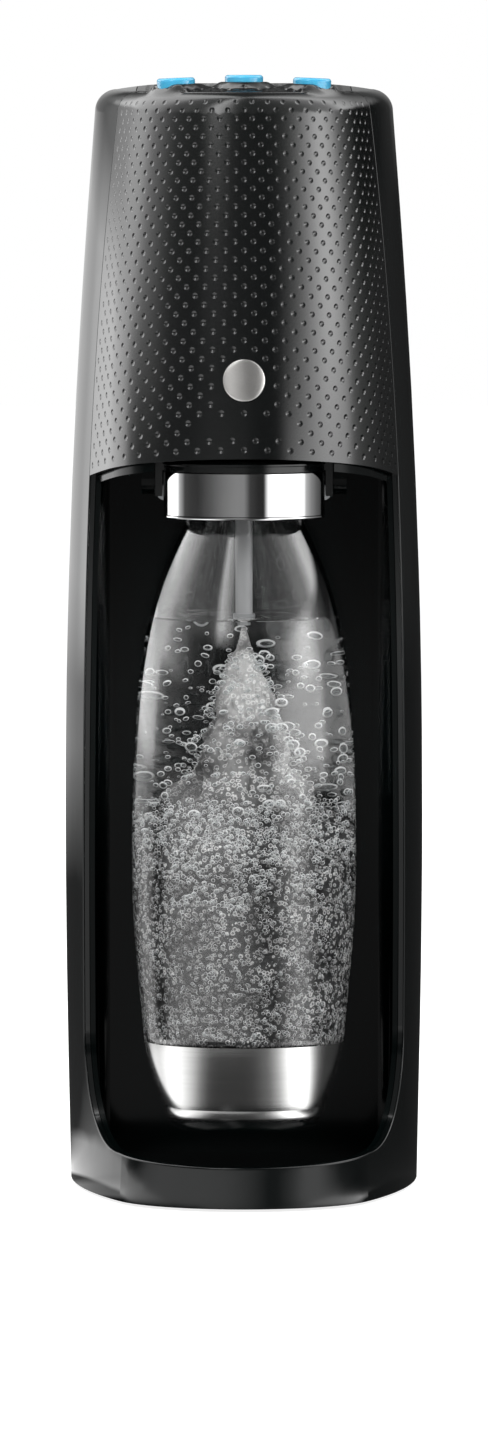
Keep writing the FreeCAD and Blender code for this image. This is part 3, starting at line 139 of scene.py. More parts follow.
def around(radius, turn, level):
    """A place at a radius from an upright axis; a turn of nothing faces the front."""
    return radius * math.sin(turn), -radius * math.cos(turn), level


def ring_faces(rings, sides, closed=True):
    """Four-cornered faces between rings of points that follow each other."""
    faces = []
    for row in range(rings - 1):
        for step in range(sides if closed else sides - 1):
            start, after = row * sides + step, row * sides + (step + 1) % sides
            faces.append((start, after, after + sides, start + sides))
    return faces


def lathe(outline, sides):
    """Points and faces of an outline of (radius, level), from the top down, turned upright."""
    points = [around(radius, 2 * math.pi * step / sides, level)
              for radius, level in outline for step in range(sides)]
    return points, [(a, d, c, b) for a, b, c, d in ring_faces(len(outline), sides)]


print("faces of a tube with eight sides:", len(lathe([(1, 1), (1, 0)], 8)[1]))

# %% [markdown]
# ## The camera
# A long lens from far away, a little above the top of the tower and looking slightly down,
# keeps the uprights parallel the way a catalogue picture does.

# %% Camera
camera_data = bpy.data.cameras.new("camera")
camera_data.sensor_width = 36
camera_data.lens = 306.6
camera = bpy.data.objects.new("camera", camera_data)
camera.location = (0, -4.604, 0.4454)
camera.rotation_euler = (math.radians(86.66), 0, 0)
put_in_scene(camera)
bpy.context.scene.camera = camera
bpy.context.scene.view_settings.view_transform = "Standard"
print("camera at", tuple(round(value, 3) for value in camera.location))

# %% [markdown]
# ## The studio
# Black gloss is drawn by what it mirrors. A white sweep (floor and world) surrounds the
# object, two tall soft boxes stand at the left rear and the right, and dark flags fill the
# space between. The soft boxes and flags are painted on one curved wall that shows only in
# gloss and through glass; plain area lamps at an ordinary level light the colours.

# %% White surroundings
FLOOR_HALF = 9000


def seen_rays(tree):
    """One for a ray that sees the surroundings: straight, off gloss or through glass."""
    rays = add(tree, "LightPath").outputs
    seen = rays["Is Camera Ray"]
    for kind in ("Is Glossy Ray", "Is Transmission Ray"):
        seen = add(tree, "Math", {0: seen, 1: rays[kind]}, operation="MAXIMUM").outputs[0]
    return seen


world = bpy.data.worlds.new("studio_white")
world.use_nodes = True
tree = world.node_tree
tree.nodes.clear()
fill = add(tree, "Background", {"Color": colour("#f4f6f8"), "Strength": 0.45})
white = add(tree, "Background", {"Color": colour("#ffffff"), "Strength": 1.0})
chosen = add(tree, "MixShader", {0: seen_rays(tree), 1: fill.outputs[0], 2: white.outputs[0]})
add(tree, "OutputWorld", {"Surface": chosen.outputs[0]})
bpy.context.scene.world = world

floor_material = bare_material("painted_sweep")
tree = floor_material.node_tree
paint = add(tree, "BsdfDiffuse", {"Color": colour("#bcbcbc")})
glow = add(tree, "Emission", {"Color": colour("#ececec"), "Strength": seen_rays(tree)})
both = add(tree, "AddShader", {0: paint.outputs[0], 1: glow.outputs[0]})
add(tree, "OutputMaterial", {"Surface": both.outputs[0]})

corners = [(-1, -1), (1, -1), (1, 1), (-1, 1)]
floor = mesh_piece("floor", [(x * FLOOR_HALF, y * FLOOR_HALF, 0) for x, y in corners],
                   [(0, 1, 2, 3)])
floor.data.materials.append(floor_material)
floor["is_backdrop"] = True
print("floor side in m:", 2 * FLOOR_HALF * MM)

# %% Reflector wall: soft boxes and flags
# Each row: azimuth in degrees (0 faces the camera's side, plus is to the right), then how bright
# the wall is near the foot, on the far floor, low down, at mid height, high up and overhead:
# zones 0 to 5. Zone -1 is the ring right under the foot's edge, as (azimuth, brightness).
WALL_RADIUS, WALL_TOP = 1600, 2600
PANELS = [
    (-180, 0.04, 0.03, 0.30, 0.70, 0.50, 0.1), (-168, 0.05, 0.03, 0.40, 0.70, 0.25, 0.1),
    (-158, 0.10, 0.04, 0.45, 0.80, 0.22, 0.5), (-150, 0.40, 0.05, 0.50, 1.60, 0.45, 2.0),
    (-138, 1.00, 0.30, 0.60, 2.40, 1.12, 2.8), (-122, 1.20, 0.85, 0.60, 2.60, 2.18, 2.8),
    (-110, 1.20, 0.60, 0.40, 2.20, 2.58, 2.8), (-104, 1.10, 0.06, 0.08, 0.60, 2.46, 2.8),
    (-92, 1.40, 0.04, 0.08, 0.08, 1.34, 2.2), (-80, 1.80, 0.70, 0.80, 0.05, 0.80, 1.1),
    (-68, 1.80, 1.00, 1.20, 0.04, 0.30, 0.6), (-60, 1.60, 1.05, 1.30, 0.06, 0.15, 0.7),
    (-45, 0.80, 1.05, 1.35, 0.12, 0.06, 0.4), (-36, 0.25, 1.05, 1.35, 0.17, 0.06, 0.7),
    (-28, 0.07, 1.00, 1.30, 0.21, 0.06, 4.5), (-19, 0.05, 0.95, 1.25, 0.25, 0.06, 2.5),
    (-10, 0.05, 0.85, 1.05, 0.28, 0.06, 0.4), (0, 0.05, 0.65, 0.85, 0.28, 0.06, 0.2),
    (8, 0.07, 0.45, 0.55, 0.06, 0.06, 0.2), (20, 0.20, 0.12, 0.15, 0.03, 0.04, 0.2),
    (28, 0.60, 0.14, 0.18, 0.03, 0.06, 0.3), (36, 1.50, 0.40, 0.60, 2.00, 0.25, 0.3),
    (42, 2.20, 0.70, 1.10, 2.60, 0.55, 0.4), (50, 2.40, 1.30, 1.80, 2.60, 1.40, 0.5),
    (60, 2.20, 1.30, 1.80, 2.60, 3.00, 0.7), (70, 0.60, 0.60, 0.80, 2.60, 4.75, 1.0),
    (78, 0.15, 0.15, 0.20, 2.60, 4.75, 1.4), (88, 0.05, 0.08, 0.10, 2.60, 3.00, 1.4),
    (98, 0.04, 0.05, 0.06, 0.60, 1.00, 2.2), (110, 0.04, 0.04, 0.05, 0.30, 0.25, 3.4),
    (125, 0.03, 0.03, 0.03, 0.15, 0.03, 2.0), (145, 0.02, 0.02, 0.02, 0.05, 0.01, 0.7),
    (165, 0.02, 0.02, 0.02, 0.02, 0.05, 0.1), (180, 0.02, 0.02, 0.02, 0.02, 0.30, 0.1),
]
FOOT_RING = [(-180, 0.03), (-110, 0.1), (-92, 0.5), (-60, 0.5), (-46, 0.03), (180, 0.03)]
AZIMUTHS, *ZONES = np.array(PANELS).T

# The wall's outline: out over the floor as (radius, zone), up as (level, zone), and back overhead.
OUTWARDS = [(5, -1), (80, -1), (90, 0), (205, 0), (255, 1), (1100, 1), (WALL_RADIUS, 1)]
UPWARDS = [(35, 1.4), (75, 2), (110, 2), (140, 2.6), (170, 3), (370, 3), (440, 4), (640, 4),
           (770, 5), (WALL_TOP, 5)]
WALL_LINE = [(radius, 1, zone) for radius, zone in OUTWARDS]
WALL_LINE += [(WALL_RADIUS, level, zone) for level, zone in UPWARDS]
WALL_LINE += [(800, WALL_TOP, 5), (5, WALL_TOP, 5)]
WALL_STEPS = 240


def panel_light(azimuth, zone):
    """How bright the reflector wall is at an azimuth (degrees), between two of its seven zones."""
    lights = [np.interp(azimuth, *np.array(FOOT_RING).T)]
    lights += [np.interp(azimuth, AZIMUTHS, brightness) for brightness in ZONES]
    return float(np.interp(zone, range(-1, 6), lights))


print("brightness straight ahead at mid height:", panel_light(0, 3))

# %% The wall itself
wall_points, wall_values = [], []
for radius, level, zone in WALL_LINE:
    for step in range(WALL_STEPS + 1):
        azimuth = -180 + 360 * step / WALL_STEPS
        wall_points.append(around(radius, math.radians(azimuth), level))
        wall_values.append(panel_light(azimuth, zone))
wall_faces = ring_faces(len(WALL_LINE), WALL_STEPS + 1, closed=False)
wall = mesh_piece("reflector_wall", wall_points, wall_faces)
strength = wall.data.attributes.new("strength", "FLOAT", "POINT")
strength.data.foreach_set("value", wall_values)
wall_material = bare_material("soft_boxes_and_flags")
tree = wall_material.node_tree
painted = add(tree, "Attribute", attribute_name="strength")
light = add(tree, "Emission", {"Color": colour("#ffffff"), "Strength": painted.outputs["Fac"]})
add(tree, "OutputMaterial", {"Surface": light.outputs[0]})
wall.data.materials.append(wall_material)
wall.visible_camera = wall.visible_diffuse = wall.visible_shadow = False
wall.visible_volume_scatter = False
wall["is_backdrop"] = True
print("reflector wall:", len(wall_faces), "faces")

# %% Lamps
AIM = Vector((0, 0, 0.2))
LAMPS = [("key_left", (-1.3, -1.9, 1.5), 1.3, 34), ("key_right", (1.5, -1.6, 1.3), 1.2, 30),
         ("top", (0, -0.2, 2.1), 1.6, 26), ("rear", (0.2, 2.2, 1.4), 1.5, 18)]
for name, place, width, watts in LAMPS:
    lamp_data = bpy.data.lights.new(name, "AREA")
    lamp_data.size = width
    lamp_data.energy = watts
    lamp = bpy.data.objects.new(name, lamp_data)
    lamp.location = place
    lamp.rotation_euler = (Vector(place) - AIM).to_track_quat("Z", "Y").to_euler()
    lamp.visible_camera = lamp.visible_glossy = lamp.visible_transmission = False
    put_in_scene(lamp)
print("lamps:", len(LAMPS))

# %% [markdown]
# ## The tower's form
# The tower is five level sections with a smooth curve through them: a round nose, two long
# flank arcs, and a rounded top edge. The same sizes as in the construction give exact points
# and exact outward directions, which matters on gloss: a normal that is a degree off bends
# every reflection.

# %% The tower's sections
LEVELS = (0, 150, 275, 340, 405)
HALF = np.polyfit(LEVELS, (65.7, 67.7, 64.7, 61.1, 56.4), 4)
FRONT = np.polyfit(LEVELS, (95.06, 86.4, 78.2, 73.6, 68.4), 4)
NOSE = np.polyfit(LEVELS, (49.5, 51.7, 53.6, 50.9, 44.6), 4)
# Where the flanks are widest, the wall's upper end, the round above it, the dome on top of that
# (how high it rises and over what distance), and the gap along the seam.
WIDEST, EDGE, ROUND, CROWN_RISE, CROWN_SPAN = 44.0, 405.0, 8.3, 2.2, 25.7
SEAM_GAP = 0.45


def section(level):
    """Half width, nose centre, nose radius, flank radius and the turn where they touch."""
    half, front, nose = (np.polyval(curve, level) for curve in (HALF, FRONT, NOSE))
    reach = WIDEST + front - nose
    flank = (half ** 2 + reach ** 2 - nose ** 2) / (2 * (half - nose))
    return half, nose - front, nose, flank, np.arctan2(flank - half, reach)


def support(turn, level, on_nose):
    """How far the wall reaches in a plan direction, on the nose or on the flank."""
    half, middle, nose, flank, _ = section(level)
    reach_nose = nose - middle * np.cos(turn)
    reach_flank = (half - flank) * np.sin(turn) - WIDEST * np.cos(turn) + flank
    return np.where(on_nose, reach_nose, reach_flank)


def front_wall(way, up):
    """Points and directions of the wall: the way round from the middle, and the way up."""
    way, up = np.broadcast_arrays(np.asarray(way, float), np.asarray(up, float))
    level, over = np.minimum(up, EDGE), np.clip(up - EDGE, 0, None) / ROUND
    half, middle, nose, flank, touch = section(level)
    along = np.abs(way)
    on_nose = along < nose * touch
    turn = np.where(on_nose, along / nose, touch + (along - nose * touch) / flank)
    radius = np.where(on_nose, nose, flank) - ROUND * (1 - np.cos(over))
    side = np.where(way < 0, -1.0, 1.0)
    x = np.where(on_nose, 0, half - flank) + radius * np.sin(turn)
    y = np.where(on_nose, middle, WIDEST) - radius * np.cos(turn)
    lean = support(turn, level - 0.5, on_nose) - support(turn, level + 0.5, on_nose)
    tilt = np.maximum(np.arctan(lean), over)
    flat = np.cos(tilt)
    points = np.stack([side * x, y, level + ROUND * np.sin(over)], -1)
    normals = np.stack([side * np.sin(turn) * flat, -np.cos(turn) * flat, np.sin(tilt)], -1)
    return points, normals


print("half width at the foot in mm:", round(float(section(0)[0]), 1))

# %% The seam and the head's lower edge
def seam_front(level):
    """Where the head cover meets the outer shell, seen from the side."""
    return -17.6 - 0.0348 * (level - 270)


def last_way(test, low, high):
    """The way round up to which a test holds, found by halving."""
    for _ in range(40):
        middle = (low + high) / 2
        holds = test(middle)
        low, high = np.where(holds, middle, low), np.where(holds, high, middle)
    return low


def seam_way(up, gap=SEAM_GAP):
    """How far round the wall the seam is, at a height."""
    def ahead(way):
        point = front_wall(way, up)[0]
        return point[..., 1] < seam_front(point[..., 2]) - gap
    return last_way(ahead, 40.0, 110.0)


def head_low(front):
    """The level of the head's lower edge, which falls towards the back."""
    return 277.7 - 0.1374 * (front + 78.2)


def edge_up(way):
    """The height of the head's lower edge, at a way round."""
    up = 275.0
    for _ in range(20):
        up = head_low(front_wall(way, up)[0][..., 1])
    return up


print("seam at mid head:", round(float(seam_way(340)), 1), "mm round from the middle")

# %% [markdown]
# ## The head cover
# The head is one satin black moulding with a field of small round dimples, pressed into the
# wall and running on over the top between the buttons. A shader bump would vanish at the
# outline and in an exported mesh, so each dimple is real: rings of points follow a shallow
# bowl, and one constrained triangulation joins all of them with the seam, the lower edge, the
# badge seat and the button holes. The rows follow the lower edge and straighten higher up; the
# columns fan out downwards as the head gets wider.

# %% Where the dimples go
BADGE_LEVEL, BADGE_SEAT = 306.7, 7.95
BUTTONS = ((-25.0, -45.0), (0.0, -45.0), (25.0, -45.0))
HOLE, TOP_UP = 7.35, EDGE + ROUND * math.pi / 4
DIMPLE, DIMPLE_GROWTH = 0.92, 0.12
ROWS, FIRST_ROW, ROW_PITCH, ROW_SPREAD = 40, 409.7, 3.19, 0.0028
TURN, TURN_MORE, TURN_SPREAD = 7.75, 0.0035, 0.000085
BARE_HALF, BARE_LOW, BARE_HIGH = 19, 286.5, 292.3
BADGE_CLEAR, SEAM_CLEAR, EDGE_CLEAR = 10.6, 3.4, 2.6


def dimple_rows():
    """The dimples of the wall as (way round, way up, radius): staggered rows that fan out."""
    dimples = []
    for row in range(ROWS):
        front_up = FIRST_ROW - ROW_PITCH * row - ROW_SPREAD * row * row
        drop = 400 - front_up
        step = math.radians(TURN + TURN_MORE * drop + TURN_SPREAD * drop * drop)
        nose = float(np.polyval(NOSE, min(front_up, EDGE)))
        slope = 0.037 + 0.1 * row / (ROWS - 1)
        way = nose * step * (np.arange(-14, 15) + (0 if row % 2 else 0.5))
        fronts = front_wall(way, front_up)[0][:, 1]
        up = front_up - slope * (fronts - front_wall(0, front_up)[0][1])
        near_badge = np.hypot(way, up - BADGE_LEVEL) < BADGE_CLEAR
        bare_strip = (np.abs(way) < BARE_HALF) & (up > BARE_LOW) & (up < BARE_HIGH)
        near_seam = seam_way(up) - np.abs(way) < SEAM_CLEAR
        kept = ~(near_badge | bare_strip | near_seam | (up - edge_up(way) < EDGE_CLEAR))
        radius = DIMPLE + DIMPLE_GROWTH * row / (ROWS - 1)
        dimples += [(float(w), float(u), radius) for w, u in zip(way[kept], up[kept])]
    return dimples


wall_dimples = dimple_rows()
print("dimples in the wall:", len(wall_dimples))

# %% [markdown]
# The crown of the head is a function of how far a point lies in from the outline: a quarter
# round, then a low dome. Each button hole has a low mound round it that ends just under the
# cap's edge, and a hair-fine parting line runs along the front where wall and top meet.

# %% The crown
HEAD_BACK = seam_front(412)
# The rear corners, then each mound's rim and foot, how it fades at the outline, and the line.
REAR_ROUND, REAR_CENTRE = 42.0, 53.0
MIDDLE_RIM, SIDE_RIM, RIM_FALL = 416.7, 415.8, 0.042
MOUND_FOOT, MOUND_WIDTH, FADE_FROM, FADE_WIDTH = 12.6, 4.4, 2.4, 4.0
LINE_INSET, LINE_HALF, LINE_DEPTH = 5.0, 0.28, 0.35


def inset(x, y):
    """How far a point of the top lies in from the outline, and the direction back out."""
    half, middle, nose, flank, touch = section(EDGE)
    side = np.abs(x)
    centres = [(0, middle, nose), (half - flank, WIDEST, flank),
               (half - REAR_ROUND, REAR_CENTRE, REAR_ROUND)]
    gaps = [radius - np.hypot(side - cx, y - cy) for cx, cy, radius in centres]
    on_nose = np.arctan2(side, middle - y) < touch
    which = np.where(on_nose, 0, np.where(y < WIDEST, 1, np.where(y < REAR_CENTRE, 3, 2)))
    gap = np.choose(which, gaps + [half - side])
    out_x = np.choose(which, [side, side - half + flank, side - half + REAR_ROUND, 1 + 0 * side])
    out_y = np.choose(which, [y - middle, y - WIDEST, y - REAR_CENTRE, 0 * side])
    size = np.maximum(np.hypot(out_x, out_y), 1e-6)
    return gap, out_x / size * np.sign(x), out_y / size


def crown_level(x, y):
    """The level of the top over a point, with its mounds and its parting line."""
    gap = inset(x, y)[0]
    into_round = ROUND - np.clip(gap, 0, ROUND)
    quarter_round = EDGE + np.sqrt(np.maximum(ROUND ** 2 - into_round ** 2, 0))
    share = np.clip((gap - ROUND) / CROWN_SPAN, 0, 1)
    level = quarter_round + CROWN_RISE * (1 - (1 - share) ** 2)
    fade = np.clip((gap - FADE_FROM) / FADE_WIDTH, 0, 1)
    for across, front in BUTTONS:
        rim = SIDE_RIM - RIM_FALL * np.sign(across) * (x - across) if across else MIDDLE_RIM
        away = np.hypot(x - across, y - front)
        share = np.clip((MOUND_FOOT - away) / MOUND_WIDTH, 0, 1) * fade
        level = level + (np.maximum(rim, level) - level) * share * share * (3 - 2 * share)
    groove = np.clip(1 - np.abs(gap - LINE_INSET) / LINE_HALF, 0, 1)
    return level - LINE_DEPTH * groove * (y < HEAD_BACK - 1.5)


def crown(x, y):
    """Points and outward directions of the top."""
    x, y = np.asarray(x, float), np.asarray(y, float)
    step = 0.05
    slope_x = (crown_level(x + step, y) - crown_level(x - step, y)) / (2 * step)
    slope_y = (crown_level(x, y + step) - crown_level(x, y - step)) / (2 * step)
    normals = np.stack([-slope_x, -slope_y, np.ones_like(x)], -1)
    normals /= np.linalg.norm(normals, axis=-1, keepdims=True)
    return np.stack([x, y, crown_level(x, y)], -1), normals


print("level of the crown's middle:", round(float(crown_level(0.0, 0.0)), 1))

# %% Dimples in the top
PANEL_HALF, PANEL_BACK = 40.0, 58.0
TOP_FIRST, TOP_PITCH, TOP_STEP = -62.4, 3.2, 6.0
MOUND_CLEAR = 9.6
top_dimples = []
for row in range(ROWS):
    y = TOP_FIRST + TOP_PITCH * row
    for column in range(-14, 15):
        x = TOP_STEP * (column + (0.5 if row % 2 else 0))
        depth = float(inset(np.array(x), np.array(y))[0])
        beside = min(math.hypot(x - across, y - front) for across, front in BUTTONS)
        inside = y < HEAD_BACK - 3.2 or (abs(x) < PANEL_HALF - 3 and y < PANEL_BACK - 3)
        if depth > 6.3 and beside > MOUND_CLEAR and inside:
            top_dimples.append((x, y, DIMPLE))
print("dimples in the top:", len(top_dimples))

# %% [markdown]
# Every dimple is a bowl a fifth of a millimetre deep with a slightly softened rim. The rings are
# spaced so that the rim shows as a crisp line of light on one side and a dark crescent on the
# other.

# %% Bowls
BOWL_DEPTH, BOWL_SIDES = 0.21, 16
BOWL_RINGS = ((1.22, 0.0, 0.0), (1.04, 0.03, 0.95), (0.76, 0.48, 0.72), (0.4, 0.84, 0.38))


def bowl_points(dimples):
    """Rows of all bowl points: two for the flat place, then depth, steepness and bearing."""
    rows = []
    for u, v, radius in dimples:
        steepest = 2 * math.atan(BOWL_DEPTH / radius)
        for scale, down, steep in BOWL_RINGS:
            reach = scale * radius
            for step in range(BOWL_SIDES):
                turn = 2 * math.pi * (step + 0.5) / BOWL_SIDES
                rows.append((u + reach * math.cos(turn), v + reach * math.sin(turn),
                             BOWL_DEPTH * down, steep * steepest, turn))
        rows.append((u, v, BOWL_DEPTH, 0.0, 0.0))
    return rows


print("points in a bowl:", len(bowl_points([(0, 0, 1)])))

# %% [markdown]
# One constrained triangulation keeps every outline as an edge. A few of its triangles bridge
# the arch under the head or lie in a hole, so those are left out again.

# %% Triangles between the outlines and the bowls
def circle(u, v, radius, sides):
    """A flat ring of places."""
    turns = [2 * math.pi * step / sides for step in range(sides)]
    return [(u + radius * math.cos(turn), v + radius * math.sin(turn)) for turn in turns]


def clear_of(points, dimples, gap):
    """The points that are further than a gap from every dimple."""
    centres = np.array([dimple[:2] for dimple in dimples])
    return [p for p in points if np.min(np.hypot(*(centres - p).T)) > gap]


def encloses(loop, point):
    """Whether a flat outline goes round a point."""
    crossings = 0
    for (u1, v1), (u2, v2) in zip(loop, loop[1:] + loop[:1]):
        if (v1 > point[1]) != (v2 > point[1]):
            crossings += point[0] < u1 + (point[1] - v1) / (v2 - v1) * (u2 - u1)
    return crossings % 2 == 1


def loop_edges(loops):
    """The neighbours in each outline, as pairs of numbers in the list of all their points."""
    edges, start = [], 0
    for loop in loops:
        edges += [(start + step, start + (step + 1) % len(loop)) for step in range(len(loop))]
        start += len(loop)
    return edges


def triangulate(loops, others):
    """Triangles inside the outlines: the first is the outside, the rest are holes."""
    places = [point for loop in loops for point in loop] + others
    corners, edges = [Vector(place) for place in places], loop_edges(loops)
    result = geometry.delaunay_2d_cdt(corners, edges, [], 4, 1e-6, True)
    order = [ids[0] if ids else -1 for ids in result[3]]
    faces = [tuple(order[corner] for corner in face) for face in result[2]]
    starts = np.cumsum([0] + [len(loop) for loop in loops])
    corner_loops = np.searchsorted(starts, np.array(faces), side="right") - 1
    kept = []
    for face, owners in zip(faces, corner_loops):
        on_one_loop = owners[0] < len(loops) and owners.min() == owners.max()
        middle = np.mean([places[corner] for corner in face], axis=0)
        if on_one_loop and (owners[0] > 0 or not encloses(loops[0], middle)):
            continue
        kept.append(face)
    return kept, places


print("triangles in a test disc:", len(triangulate([circle(0, 0, 1, 16)], [(0, 0)])[0]))

# %% Bowls set on a curved form
def sculpt(form, loops, dimples, others):
    """One patch: flat outlines, bowls and spare points, set on a curved form."""
    bowls = bowl_points(dimples)
    depth, lean, bearing = (np.array(column)[:, None] for column in list(zip(*bowls))[2:])
    faces, places = triangulate(loops, [row[:2] for row in bowls] + others)
    flat = np.array(places)
    points, normals = form(flat[:, 0], flat[:, 1])
    first = sum(len(loop) for loop in loops)
    rows = slice(first, first + len(bowls))
    aside = flat[rows] + 0.01 * np.hstack([np.cos(bearing), np.sin(bearing)])
    near = form(aside[:, 0], aside[:, 1])[0]
    outward = near - points[rows]
    outward /= np.maximum(np.linalg.norm(outward, axis=1, keepdims=True), 1e-9)
    base = normals[rows].copy()
    points[rows] -= base * depth
    normals[rows] = base * np.cos(lean) - outward * np.sin(lean)
    return points, normals, faces


print("bowl steepest in degrees:", round(math.degrees(2 * math.atan(BOWL_DEPTH / DIMPLE)), 1))

# %% Outlines of the two patches
corner_up = 269.4
for _ in range(20):
    corner_up = edge_up(seam_way(corner_up))
corner_way = float(seam_way(corner_up))
top_way = float(seam_way(TOP_UP))
lower = [(way, float(edge_up(way))) for way in np.linspace(-corner_way, corner_way, 97)]
right = [(float(seam_way(up)), up) for up in np.linspace(corner_up, TOP_UP, 60)[1:-1]]
upper = [(way, TOP_UP) for way in np.linspace(top_way, -top_way, 75)]
left = [(-way, up) for way, up in reversed(right)]
wall_outline = lower + right + upper + left

upper_line = front_wall([way for way, _ in reversed(upper)], TOP_UP)[0]
back = float(upper_line[0][1])
shoulder = [(x, back) for x in np.linspace(float(upper_line[-1][0]), PANEL_HALF, 6)[1:]]
behind = [(PANEL_HALF, y) for y in np.linspace(back, PANEL_BACK, 26)[1:]]
across = [(x, PANEL_BACK) for x in np.linspace(PANEL_HALF, -PANEL_HALF, 26)[1:]]
top_outline = [(float(p[0]), float(p[1])) for p in upper_line] + shoulder + behind + across
top_outline += [(-x, y) for x, y in reversed(shoulder + behind[:-1])]
print("outline points:", len(wall_outline), len(top_outline))

# %% Spare points between the dimples
BOWL_CLEAR = 1.7
wall_grid = [(way, up) for up in np.arange(272, TOP_UP, 3.3) for way in np.arange(-88.5, 90, 3.0)]
wall_grid += [(way, up) for up in (405, 406.3, 407.6, 408.9, 410.2)
              for way in np.arange(-70.5, 72, 3.0)]
ways, ups = np.array(wall_grid).T
inside = (np.abs(ways) < seam_way(ups) - 1.2) & (edge_up(ways) + 1.0 < ups) & (ups < TOP_UP - 0.6)
wall_grid = [place for place, kept in zip(wall_grid, inside) if kept]
wall_grid = clear_of(wall_grid, wall_dimples, BOWL_CLEAR)
seat = circle(0, BADGE_LEVEL, BADGE_SEAT, 56)
wall_grid = [p for p in wall_grid if math.hypot(p[0], p[1] - BADGE_LEVEL) > BADGE_SEAT + 0.9]

top_grid = []
for depth in (3.4, 4.1, 4.7, 5.0, 5.3, 6.0, 7.4, 9.0):
    count = 150 if abs(depth - LINE_INSET) < 0.4 else 60
    line, outwards = front_wall(np.linspace(-top_way + 1, top_way - 1, count), EDGE)
    ring = (line - depth * outwards)[:, :2]
    top_grid += [(float(x), float(y)) for x, y in ring if y < back - 1]
for y in np.arange(-62, PANEL_BACK - 1.5, 3.1):
    for x in np.arange(-54, 55, 3.0):
        depth = float(inset(np.array(x + 1e-6), np.array(y))[0])
        if depth > 9.6 and (y < back - 1.2 or abs(x) < PANEL_HALF - 1.2):
            top_grid.append((float(x), float(y)))
top_grid = clear_of(clear_of(top_grid, top_dimples, BOWL_CLEAR), BUTTONS, MOUND_CLEAR)
for bx, by in BUTTONS:
    for radius in (7.7, 8.1, 8.5, 9.2):
        top_grid += circle(bx, by, radius, 48)
holes = [circle(bx, by, HOLE, 48) for bx, by in BUTTONS]
print("spare points:", len(wall_grid), "in the wall,", len(top_grid), "in the top")

# %% Head piece: both skins and the rims between them
SKIN, parts = 1.9, []
for form, loops, dimples, grid in ((front_wall, [wall_outline, seat], wall_dimples, wall_grid),
                                   (crown, [top_outline] + holes, top_dimples, top_grid)):
    points, normals, faces = sculpt(form, loops, dimples, grid)
    parts.append((points, normals, faces))
    inner_faces, places = triangulate(loops, grid)
    inner, outwards = form(*np.array(places).T)
    inner = inner - SKIN * outwards
    parts.append((inner, -outwards, [face[::-1] for face in inner_faces]))
    count = sum(len(loop) for loop in loops)
    rim_faces = [(b, a, a + count, b + count) for a, b in loop_edges(loops)]
    parts.append((np.concatenate([points[:count], inner[:count]]), None, rim_faces))
all_points, all_normals, all_faces = [], [], []
for points, normals, faces in parts:
    start = len(all_points)
    all_points += [tuple(point) for point in points]
    all_normals += [(0, 0, 0)] * len(points) if normals is None else [tuple(n) for n in normals]
    all_faces += [tuple(start + corner for corner in face) for face in faces]
head = mesh_piece("head_cover_dimpled", all_points, all_faces, all_normals)
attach(head, "tower")
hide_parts("head_cover")
print("head cover:", len(head.data.polygons), "faces")

# %% [markdown]
# ## The badge
# The round badge is left bare: a plain satin disc. It is bowed from side to side, more than the
# head is, so that it runs from the shade on its left to the soft box on its right.

# %% Bowed disc
BADGE_RADIUS, BADGE_BOW, BADGE_DEEP, BADGE_RISE = 7.8, 24.0, 2.0, 0.9
centre, outward = front_wall(0.0, BADGE_LEVEL)
upward = np.array([0.0, outward[2], -outward[1]])
rings, disc_sides, disc = (0.0, 0.2, 0.4, 0.6, 0.8, 0.95, 0.985, 1.0), 72, []
for share in rings:
    worn = 0.25 if share == 1.0 else 0.05 if share > 0.97 else 0.0
    for u, v in circle(0, 0, BADGE_RADIUS * share, disc_sides):
        rise = BADGE_RISE - u * u / (2 * BADGE_BOW) - worn
        disc.append(centre + np.array([u, 0, 0]) + v * upward + rise * outward)
disc += [point - BADGE_DEEP * outward for point in disc[-disc_sides:]]
faces = ring_faces(len(rings) + 1, disc_sides)
badge = mesh_piece("badge_bowed_disc", disc, [face[::-1] for face in faces])
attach(badge, "tower")
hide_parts("badge_disc")
print("badge:", len(badge.data.polygons), "faces")

# %% [markdown]
# ## The shell's edge
# The outer shell meets the head and the liner with a tiny moulded radius that catches a thin
# line of light all the way from the crown, down the side and round the band of the foot.
# A slim bead on the same line gives that radius without touching the shell's own mesh.

# %% The line of the shell's front edge
def band_top(front):
    """The level of the foot's band, seen from the side."""
    return 15.9 + 0.078 * (front + 95.06)


def way_at(front, level):
    """How far round the wall a point lies that is seen at this front and level."""
    return last_way(lambda way: front_wall(way, level)[0][1] < front, 0.0, 125.0)


def edge_line():
    """The right half of the shell's edge as (way, up), from the crown to the middle front."""
    line = [(seam_way(up, 0), float(up)) for up in np.linspace(TOP_UP, 271, 40)]
    centre_front, radius = -60.0, 44.0
    centre_level = band_top(centre_front) + radius
    side_view = [(-16 - 1.6 * (level - centre_level) / (270 - centre_level), level)
                 for level in np.linspace(269, centre_level, 30)]
    side_view += [(centre_front + radius * math.cos(turn), centre_level - radius * math.sin(turn))
                  for turn in np.linspace(math.radians(3), math.radians(90), 24)]
    line += [(way_at(front, level), float(level)) for front, level in side_view]
    last = line[-1][0]
    for way in np.linspace(last - 2, 0, 30):
        up = 16.0
        for _ in range(8):
            up = band_top(front_wall(way, up)[0][1])
        line.append((float(way), float(up)))
    return line


half_line = edge_line()
print("points in half the line:", len(half_line))

